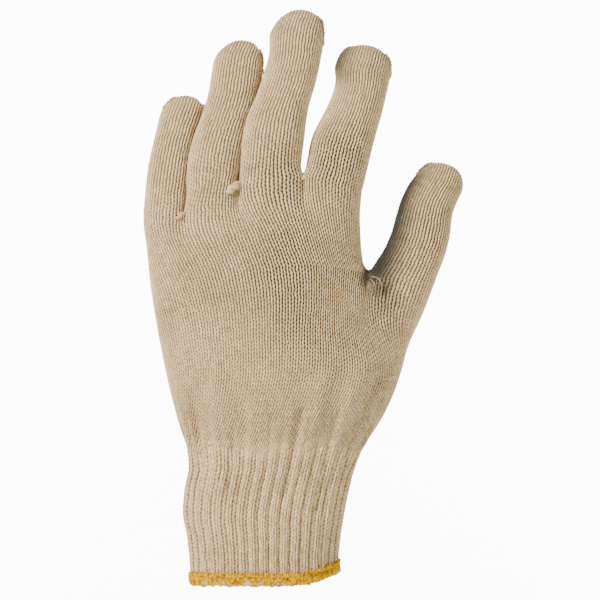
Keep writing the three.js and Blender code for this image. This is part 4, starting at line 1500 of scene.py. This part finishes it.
class GloveSizes(bpy.types.PropertyGroup):
    wall: FloatProperty(
        name="Wall", description="Thickness of the knit without its relief",
        default=0.0016, unit="LENGTH")
    yarn_height: FloatProperty(
        name="Yarn height", description="How far a stitch's leg stands out of the skin",
        default=0.0008, unit="LENGTH")
    rib_depth: FloatProperty(
        name="Rib depth", description="Depth of the valleys between the cuff's ribs",
        default=0.0017, unit="LENGTH")
    bump_height: FloatProperty(
        name="Bump height", description="Depth of the fine relief of the yarn",
        default=0.0004, unit="LENGTH")
    unevenness: FloatProperty(
        name="Unevenness", description="How far a stitch may stand from its even place, in wales",
        default=0.05)
    thread_radius: FloatProperty(
        name="Thread radius", description="Half the thickness of the hem's thread",
        default=0.0005, unit="LENGTH")


class GloveColours(bpy.types.PropertyGroup):
    cotton_light: FloatVectorProperty(
        name="Cotton, light", description="Clean cotton string", subtype="COLOR", size=4,
        default=(0.79, 0.585, 0.32, 1.0))
    cotton_shade: FloatVectorProperty(
        name="Cotton, shade", description="Greyer string", subtype="COLOR", size=4,
        default=(0.475, 0.312, 0.136, 1.0))
    # Painted shade in the gaps between the loops of the knit
    gap: FloatVectorProperty(
        name="Gap Shade", description="Between the loops of the knit", subtype="COLOR", size=4,
        default=(0.036, 0.022, 0.011, 1.0))
    thread_light: FloatVectorProperty(
        name="Thread, light", description="Yellow thread of the hem", subtype="COLOR", size=4,
        default=(0.62, 0.325, 0.0, 1.0))
    thread_dark: FloatVectorProperty(
        name="Thread, dark", description="Darker stretches of the thread", subtype="COLOR", size=4,
        default=(0.20, 0.08, 0.0, 1.0))
    floor: FloatVectorProperty(
        name="Floor", description="Pale floor and backdrop", subtype="COLOR", size=4,
        default=(0.95, 0.95, 0.95, 1.0))
    # Painted shade on the thumb's inner side, the fingertips' edges and spots by the crotches
    painted_shade: FloatVectorProperty(
        name="Painted shade", description="Inner side of the thumb", subtype="COLOR", size=4,
        default=(0.028, 0.024, 0.016, 1.0))


def finish_knit(mesh, material, slot_name, *nodes):
    obj = show(mesh)
    run_tree(obj, relief_tree(), {"Yarn Height": sizes().yarn_height, "Material": material})
    return finish_piece(obj, slot_name, *nodes)


# Overlocked hem in millimetres: how many stitches go round the mouth, how far they reach up
# outside and inside, and how far below the knit they turn
HEM_STITCHES = 176
HEM_OUTSIDE = 4.2
HEM_INSIDE = 3.2
HEM_BELOW = 0.6
HEM_PROUD = 0.3
MOUTH_BELOW = 1.0

# One stitch over the edge: how far out of the knit in millimetres, and how far up in shares of
# its height, or down in millimetres where that is below 0
WRAP_PROFILE = (
    (HEM_PROUD, 0.55), (HEM_PROUD + 0.35, 0.8), (HEM_PROUD + 0.3, 0.4), (HEM_PROUD, 0.0),
    (-0.6, -HEM_BELOW), (-1.9, -0.1), (-2.3, 0.35), (-2.5, 0.9), (-2.2, 0.35), (-1.7, -0.1),
    (-0.4, -HEM_BELOW - 0.2), (HEM_PROUD + 0.3, -0.05), (HEM_PROUD + 0.6, 0.4),
)

# Stitches reach higher between ribs than on them, by WRAP_VALLEY from WRAP_LOWER; then how
# uneven they are, in millimetres, in stitches for their place and in shares for their thickness
WRAP_LOWER = 0.6
WRAP_VALLEY = 1.3
WRAP_UNEVEN = {"top": 0.5, "inside": 0.3, "below": 0.25, "place": 0.12, "outset": 0.12,
               "thickness": 0.12}

# Threads that run round the mouth in waves: their number, outset, height and swing
HEM_WAVES = [
    {"waves": 150, "outset": HEM_PROUD + 0.7, "middle": 3.3, "swing": 0.9},
    {"waves": 130, "outset": HEM_PROUD + 0.6, "middle": 1.5, "swing": 0.9},
    {"waves": 120, "outset": HEM_PROUD + 0.2, "middle": 0.0, "swing": 0.5},
    {"waves": 120, "outset": -2.0, "middle": 1.2, "swing": 0.8},
]
STEPS_PER_WAVE = 4
WAVE_UNEVEN = {"place": 0.25, "height": 0.28, "outset": 0.16, "thickness": 0.15}

# Tufts of cotton at the hem's lower edge: their number, strands in each, thickness along one;
# shift and slant of a strand in shares of the mouth; in millimetres, from where to where it
# starts outside and up, how far it bulges, comes back and drops
TUFTS = 22
TUFT_STRANDS = 3
TUFT_WIDTHS = (0.8, 1.2, 1.3, 1.2, 1.0, 0.6)
TUFT_SHIFT = 0.006
TUFT_SLANT = 0.012
TUFT_OUT = (0.5, 1.3)
TUFT_UP = (0.1, 1.2)
TUFT_BULGE = 0.5
TUFT_BACK = 0.7
TUFT_DROP = (0.6, 1.6)

# What each thread takes: sides, turns, and its step, radius and spread of its plies in metres;
# the hem's own thread has its radius and spread in shares of the thread radius
WRAP_THREAD = {"Sides": 5, "Step": 0.0009, "Turns per Metre": 260.0}
WRAP_SPREAD = 0.6
LOOPER_THREAD = {"Sides": 5, "Step": 0.0008, "Turns per Metre": 300.0}
LOOPER_RADIUS = 0.9
LOOPER_SPREAD = 0.5
TUFT_THREAD = {"Thread Radius": 0.00038, "Spread": 0.0003, "Sides": 5, "Step": 0.0006,
               "Turns per Metre": 250.0}
SELVEDGE_THREAD = {"Thread Radius": 0.0004, "Spread": 0.00022, "Sides": 6, "Step": 0.0004,
                   "Turns per Metre": 350.0}
NUB_THREAD = {"Thread Radius": 0.0006, "Spread": 0.00035, "Sides": 8, "Step": 0.0004,
              "Turns per Metre": 160.0}


# How thin a thread may get, and how thick those of the wraps, waves and fingertips
THINNEST = 0.7
WRAP_THICKEST = 1.4
WAVE_THICKEST = 1.5
SELVEDGE_THICKEST = 1.3


def uneven_widths(rng, spread, thickest, count):
    return np.clip(rng.normal(1, spread, count), THINNEST, thickest)


def mouth_frame(shares):
    """Points of the cuff's mouth and the ways out of it, at shares round it from the left"""
    across, depth = unit_oval(CUFF_ASPECT, shares)
    row = CUFF_ROWS[0]
    x = across * row["right"]
    y = depth * row["half"]
    z = row["z"] - MOUTH_BELOW + row["lift"] * mouth_rise(across, depth)
    out = np.stack([x / row["right"] ** 2, y / row["half"] ** 2], axis=-1)
    out /= np.linalg.norm(out, axis=-1, keepdims=True)
    return np.stack([x, y, z], axis=-1), out


def round_mouth(shares, outset, height):
    """Points in metres round the mouth, set out from the knit and up from its edge"""
    point, out = mouth_frame(shares)
    x = point[:, 0] + out[:, 0] * outset
    y = point[:, 1] + out[:, 1] * outset
    return np.stack([x, y, point[:, 2] + height], axis=-1) * MM


def hem_wraps(rng):
    """Thread that winds over the edge, stitch by stitch"""
    uneven = WRAP_UNEVEN
    shares, outsets, heights = [], [], []
    for stitch in range(HEM_STITCHES):
        between_ribs = rib_valley(stitch / HEM_STITCHES * CUFF_WALES / WALES_PER_RIB)
        top = HEM_OUTSIDE - WRAP_LOWER + WRAP_VALLEY * between_ribs + rng.normal(0, uneven["top"])
        inside = HEM_INSIDE + rng.normal(0, uneven["inside"])
        below = rng.normal(0, uneven["below"])
        for index, (outset, rise) in enumerate(WRAP_PROFILE):
            place = stitch + index / len(WRAP_PROFILE) + rng.normal(0, uneven["place"])
            shares.append(place / HEM_STITCHES)
            outsets.append(outset + rng.normal(0, uneven["outset"]))
            reach = top if outset > 0 else inside
            heights.append(reach * rise if rise > 0 else rise + below)
    points = round_mouth(np.array(shares), np.array(outsets), np.array(heights))
    return points, uneven_widths(rng, uneven["thickness"], WRAP_THICKEST, len(points)), 0.0


def hem_wave(rng, row):
    """Thread that runs round the mouth in uneven waves"""
    uneven = WAVE_UNEVEN
    last = STEPS_PER_WAVE * row["waves"]
    steps = np.arange(last + 1)
    shares = steps / last + rng.normal(0, uneven["place"], len(steps)) / last
    heights = row["middle"] + row["swing"] * np.sin(2 * np.pi * steps / STEPS_PER_WAVE)
    heights = heights + rng.normal(0, uneven["height"], len(steps))
    outsets = row["outset"] + rng.normal(0, uneven["outset"], len(steps))
    points = round_mouth(shares, outsets, heights)
    return points, uneven_widths(rng, uneven["thickness"], WAVE_THICKEST, len(points)), 0.0


def hem_tufts(rng):
    """Ends of cotton string that come out between the loops at the hem's lower edge"""
    paths = []
    for _ in range(TUFTS):
        share = rng.uniform(0, 1)
        for _ in range(TUFT_STRANDS):
            steps = np.linspace(0, 1, len(TUFT_WIDTHS))
            shares = share + rng.normal(0, TUFT_SHIFT) + rng.normal(0, TUFT_SLANT) * steps
            outsets = rng.uniform(*TUFT_OUT) + TUFT_BULGE * np.sin(math.pi * steps)
            outsets = outsets - TUFT_BACK * steps
            heights = rng.uniform(*TUFT_UP) - steps * rng.uniform(*TUFT_DROP)
            paths.append((round_mouth(shares, outsets, heights), TUFT_WIDTHS, 0.0))
    return paths


# Round loops at the ends of the closing line over a fingertip: how far they go over the tip in
# wales and down the side in courses, how many there are and how much painted shade they carry;
# then, in millimetres, how wide they swing, how high they stand and turn, how far they sink at
# both ends and run back; the share of the chain that is an end, the points in a loop, and how
# uneven all this is
SELVEDGES = [
    {"finger": "little_finger", "side": "left", "over": 3.2, "down": 7, "loops": 7, "painted_shade": 0.1},
    {"finger": "little_finger", "side": "right", "over": 2.6, "down": 4, "loops": 4, "painted_shade": 0.1},
    {"finger": "ring_finger", "side": "right", "over": 3.4, "down": 9, "loops": 8, "painted_shade": 0.12},
    {"finger": "middle_finger", "side": "right", "over": 4.4, "down": 9, "loops": 9, "painted_shade": 0.12},
    {"finger": "index_finger", "side": "left", "over": 4.0, "down": 8, "loops": 8, "painted_shade": 0.6},
    {"finger": "index_finger", "side": "right", "over": 4.0, "down": 9, "loops": 9, "painted_shade": 0.15},
    {"finger": "thumb", "side": "left", "over": 4.2, "down": 8, "loops": 8, "painted_shade": 0.5},
]
SELVEDGE_WIDTH = 0.9
SELVEDGE_LIFT = 0.4
SELVEDGE_SWING = 0.3
SELVEDGE_SUNK = 0.8
SELVEDGE_BACK = 0.35
SELVEDGE_END = 0.25
LOOP_STEPS = 8
SELVEDGE_UNEVEN = {"width": 0.1, "lift": 0.06, "thickness": 0.1}
SELVEDGE_THIN_END = 0.5


def selvedge_path(edge, rng):
    """A chain of loops along the side of a fingertip, from over the tip down its edge"""
    skin = glove_skin()
    grid = skin.tubes[edge["finger"]]["grid"]
    half = (grid.shape[1] - 1) // 2
    over = np.arange(int(edge["over"] * WALE_CUTS), 0, -1)
    side = 0 if edge["side"] == "left" else half
    inward = 1 if side == 0 else -1
    down = np.arange(grid.shape[0] - 1, grid.shape[0] - 1 - edge["down"] * COURSE_CUTS, -1)
    line = [grid[-1, side + inward * column] for column in over] + [grid[row, side] for row in down]
    points = skin.points[line]
    outward = skin.outward[line]
    length = np.concatenate(([0], np.cumsum(np.linalg.norm(np.diff(points, axis=0), axis=1))))
    steps = edge["loops"] * LOOP_STEPS + 1
    run = np.linspace(0, length[-1], steps)
    turn_share = np.arange(steps) / LOOP_STEPS
    places = np.stack([np.interp(run, length, points[:, axis]) for axis in range(3)], axis=-1)
    ways = np.stack([np.interp(run, length, outward[:, axis]) for axis in range(3)], axis=-1)
    ways /= np.linalg.norm(ways, axis=1, keepdims=True)
    ahead = np.gradient(places, axis=0)
    ahead /= np.linalg.norm(ahead, axis=1, keepdims=True)
    beside = np.cross(ways, ahead)
    wide = SELVEDGE_WIDTH + rng.normal(0, SELVEDGE_UNEVEN["width"], steps)
    swing = np.sin(2 * np.pi * turn_share) * wide
    lift = SELVEDGE_LIFT + SELVEDGE_SWING * np.cos(2 * np.pi * turn_share)
    lift += rng.normal(0, SELVEDGE_UNEVEN["lift"], steps)
    share = np.linspace(0, 1, steps)
    sunk = 1 - smooth(share / SELVEDGE_END) * smooth((1 - share) / SELVEDGE_END)
    lift = lift - SELVEDGE_SUNK * sunk
    back = SELVEDGE_BACK * np.sin(4 * np.pi * turn_share)
    path = places + (beside * swing[:, None] + ways * lift[:, None] + ahead * back[:, None]) * MM
    widths = uneven_widths(rng, SELVEDGE_UNEVEN["thickness"], SELVEDGE_THICKEST, steps)
    widths[0] = widths[-1] = SELVEDGE_THIN_END
    return path, widths, edge["painted_shade"]


# Ends of yarn knotted into the crotches: thickness of their ends, then their corners in
# millimetres, thickness in shares and painted shade
NUB_END = 0.6
NUBS = [
    {"path": [(-16.6, -5.5, 170.0), (-15.3, -9.2, 170.9), (-13.4, -9.9, 172.1),
                              (-11.7, -9.2, 173.3), (-10.9, -5.5, 173.9)], "thick": 2.0, "painted_shade": 0.0},
    {"path": [(-38.2, -3.0, 158.6), (-37.0, -6.6, 159.6), (-35.4, -7.4, 160.8),
                              (-34.2, -5.2, 161.2)], "thick": 1.2, "painted_shade": 0.0},
    {"path": [(15.0, -4.0, 175.6), (16.0, -7.4, 176.2), (17.4, -7.6, 176.6),
                              (18.4, -4.6, 176.4)], "thick": 1.0, "painted_shade": 0.0},
    {"path": [(46.1, -5.2, 134.0), (48.0, -7.3, 133.6), (49.6, -7.6, 132.8),
                              (50.3, -8.7, 131.0), (50.6, -9.4, 129.4), (50.2, -10.7, 127.4),
                              (49.9, -9.4, 126.0)], "thick": 0.4, "painted_shade": 0.6},
    {"path": [(45.9, -5.6, 132.8), (47.2, -8.9, 131.2), (47.9, -9.8, 129.0),
                              (47.9, -8.6, 127.2)], "thick": 0.36, "painted_shade": 0.65},
]


class GLOVE_OT_hem(bpy.types.Operator):
    """Overlocks the mouth of the cuff with yellow thread"""
    bl_idname = "glove.hem"
    bl_label = "Sew the hem"

    def execute(self, context):
        rng = np.random.default_rng(SEEDS["hem"])
        thread = thread_material()
        radius = sizes().thread_radius
        make_threads("hem_wraps", [hem_wraps(rng)], thread, "hem", "hem_thread",
                     **{"Thread Radius": radius, "Spread": WRAP_SPREAD * radius}, **WRAP_THREAD)
        waves = [hem_wave(rng, row) for row in HEM_WAVES]
        make_threads("hem_loopers", waves, thread, "hem", "hem_thread",
                     **{"Thread Radius": LOOPER_RADIUS * radius, "Spread": LOOPER_SPREAD * radius},
                     **LOOPER_THREAD)
        make_threads("hem_tufts", hem_tufts(rng), cotton_string(), "hem", "hem_thread",
                     **TUFT_THREAD)
        return {"FINISHED"}


class GLOVE_OT_ends(bpy.types.Operator):
    """Adds the loops beside the fingertips and the yarn ends in the crotches"""
    bl_idname = "glove.ends"
    bl_label = "Finish the tips and crotches"

    def execute(self, context):
        rng = np.random.default_rng(SEEDS["ends"])
        string = cotton_string()
        for name in FINGERS:
            paths = [selvedge_path(edge, rng) for edge in SELVEDGES if edge["finger"] == name]
            make_threads(name + "_selvedge", paths, string, name, "cotton_knit",
                         **SELVEDGE_THREAD)
        paths = []
        for nub in NUBS:
            corners = np.array(nub["path"]) * MM
            widths = np.full(len(corners), nub["thick"])
            widths[0] = widths[-1] = NUB_END * nub["thick"]
            paths.append((corners, widths, nub["painted_shade"]))
        make_threads("crotch_ends", paths, string, "palm", "cotton_knit", **NUB_THREAD)
        return {"FINISHED"}


class GLOVE_OT_palm(bpy.types.Operator):
    """Knits the back and the palm of the hand"""
    bl_idname = "glove.palm"
    bl_label = "Knit the hand"

    def execute(self, context):
        half_hand = HAND_WALES * WALE_CUTS // 2
        half_palm = PALM_WALES * WALE_CUTS // 2
        rng = np.random.default_rng(SEEDS["palm"])
        front = shell_mesh("palm_back_of_hand", [
            ("hand", 0, half_hand), ("palm", 0, half_palm)], rng)
        finish_knit(front, knit_material("Cotton knit"), "cotton_knit", "palm")
        back = shell_mesh("palm_inside", [
            ("hand", half_hand, 2 * half_hand), ("palm", half_palm, 2 * half_palm)], rng)
        finish_knit(back, knit_material("Cotton knit"), "cotton_knit", "palm")
        return {"FINISHED"}


class GLOVE_OT_fingers(bpy.types.Operator):
    """Knits the four fingers and the thumb"""
    bl_idname = "glove.fingers"
    bl_label = "Knit the fingers"

    def execute(self, context):
        rng = np.random.default_rng(SEEDS["fingers"])
        for name, finger in FINGERS.items():
            around = round_wales(finger) * WALE_CUTS
            mesh = shell_mesh(name + "_knit", [(name, 0, around)], rng)
            finish_knit(mesh, knit_material("Cotton knit"), "cotton_knit", name)
        return {"FINISHED"}


class GLOVE_OT_cuff(bpy.types.Operator):
    """Knits the ribbed cuff"""
    bl_idname = "glove.cuff"
    bl_label = "Knit the cuff"

    def execute(self, context):
        rng = np.random.default_rng(SEEDS["cuff"])
        mesh = shell_mesh("cuff_rib", [("cuff", 0, CUFF_WALES * WALE_CUTS)], rng)
        finish_knit(mesh, knit_material("Cotton rib"), "cotton_rib", "cuff")
        return {"FINISHED"}


class GLOVE_OT_stage(bpy.types.Operator):
    """Sets up the pale floor, the soft lights and the camera"""
    bl_idname = "glove.stage"
    bl_label = "Set the stage"

    def execute(self, context):
        make_floor()
        light_stage()
        place_camera()
        return {"FINISHED"}


# Camera in millimetres of lens and sensor; the picture's width and middle, the floor and the
# backdrop that curves up from it in metres; lamps with their power in watts
CAMERA_LENS = 150
SENSOR_WIDTH = 36
CAMERA_NEAR = 0.05
PICTURE_WIDTH = 0.26
PICTURE_CENTRE = (0.0154, 0.0, 0.1239)
FLOOR_HEIGHT = -0.3
FLOOR_FRONT = -3.0
FLOOR_HALF_WIDTH = 4.0
FLOOR_ROUGHNESS = 0.9
BACKDROP_DISTANCE = 2.6
BACKDROP_CURVE = 0.8
BACKDROP_STEPS = 12
BACKDROP_TOP = 4.0
WORLD_COLOUR = (1.0, 1.0, 1.0, 1.0)
WORLD_STRENGTH = 0.5
LAMPS = [
    {"name": "Key", "place": (-0.95, -1.0, 1.1), "target": PICTURE_CENTRE,
     "power": 61.0, "size": 0.5},
    {"name": "Fill", "place": (0.8, -1.4, 0.5), "target": PICTURE_CENTRE,
     "power": 10.0, "size": 1.2},
    {"name": "Backdrop, left", "place": (-1.2, 1.5, 0.8), "target": (0.1, 2.6, 0.0),
     "power": 215.0, "size": 0.8},
    {"name": "Backdrop, right", "place": (1.2, 1.5, 0.8), "target": (-0.1, 2.6, 0.0),
     "power": 215.0, "size": 0.8},
]


def make_floor():
    """The pale floor, which curves up into the backdrop"""
    profile = [(FLOOR_FRONT, FLOOR_HEIGHT)]
    for step in range(BACKDROP_STEPS + 1):
        angle = math.pi / 2 * step / BACKDROP_STEPS
        y = BACKDROP_DISTANCE - BACKDROP_CURVE * (1 - math.sin(angle))
        profile.append((y, FLOOR_HEIGHT + BACKDROP_CURVE * (1 - math.cos(angle))))
    profile.append((BACKDROP_DISTANCE, BACKDROP_TOP))
    points = [(side * FLOOR_HALF_WIDTH, y, z) for y, z in profile for side in (-1, 1)]
    faces = [(2 * i, 2 * i + 1, 2 * i + 3, 2 * i + 2) for i in range(len(profile) - 1)]
    mesh = bpy.data.meshes.new("floor")
    mesh.from_pydata(points, [], faces)
    mesh.shade_smooth()
    mesh.materials.append(plain_material("Pale floor", colours().floor[:], FLOOR_ROUGHNESS))
    show(mesh)


def light_stage():
    scene = bpy.context.scene
    world = bpy.data.worlds.new("Studio")
    scene.world = world
    world.use_nodes = True
    background = world.node_tree.nodes["Background"]
    background.inputs["Color"].default_value = WORLD_COLOUR
    background.inputs["Strength"].default_value = WORLD_STRENGTH
    for row in LAMPS:
        light = bpy.data.lights.new(row["name"], "AREA")
        light.energy = row["power"]
        light.size = row["size"]
        lamp = bpy.data.objects.new(row["name"], light)
        scene.collection.objects.link(lamp)
        lamp.location = row["place"]
        aim_at(lamp, row["target"])


def place_camera():
    """Looks straight on, from where the lens takes in the picture's width"""
    scene = bpy.context.scene
    camera = bpy.data.cameras.new("Camera")
    camera.lens = CAMERA_LENS
    camera.sensor_width = SENSOR_WIDTH
    camera.clip_start = CAMERA_NEAR
    distance = PICTURE_WIDTH * CAMERA_LENS / camera.sensor_width
    holder = bpy.data.objects.new("Camera", camera)
    scene.collection.objects.link(holder)
    x, y, z = PICTURE_CENTRE
    holder.location = (x, y - distance, z)
    holder.rotation_euler = (math.pi / 2, 0, 0)
    scene.camera = holder


def aim_at(obj, target):
    way = Vector(target) - obj.location
    obj.rotation_euler = way.to_track_quat("-Z", "Y").to_euler()


class GLOVE_PT_panel(bpy.types.Panel):
    bl_idname = "GLOVE_PT_panel"
    bl_label = "Cotton work glove"
    bl_space_type = "VIEW_3D"
    bl_region_type = "UI"
    bl_category = "Glove"

    def draw(self, context):
        layout = self.layout
        for group in (context.scene.glove_sizes, context.scene.glove_colours):
            for name in group.bl_rna.properties.keys():
                if name not in ("rna_type", "name"):
                    layout.prop(group, name)
        for operator in OPERATORS:
            layout.operator(operator.bl_idname)


OPERATORS = (
    GLOVE_OT_cuff, GLOVE_OT_palm, GLOVE_OT_fingers, GLOVE_OT_ends, GLOVE_OT_hem, GLOVE_OT_stage)
CLASSES = (GloveSizes, GloveColours) + OPERATORS + (GLOVE_PT_panel,)


def register():
    for cls in CLASSES:
        bpy.utils.register_class(cls)
    bpy.types.Scene.glove_sizes = PointerProperty(type=GloveSizes)
    bpy.types.Scene.glove_colours = PointerProperty(type=GloveColours)


def unregister():
    del bpy.types.Scene.glove_sizes
    del bpy.types.Scene.glove_colours
    for cls in reversed(CLASSES):
        bpy.utils.unregister_class(cls)


def main():
    register()
    bpy.ops.glove.cuff()
    bpy.ops.glove.palm()
    bpy.ops.glove.fingers()
    bpy.ops.glove.ends()
    bpy.ops.glove.hem()
    bpy.ops.glove.stage()


if __name__ == "__main__":
    main()
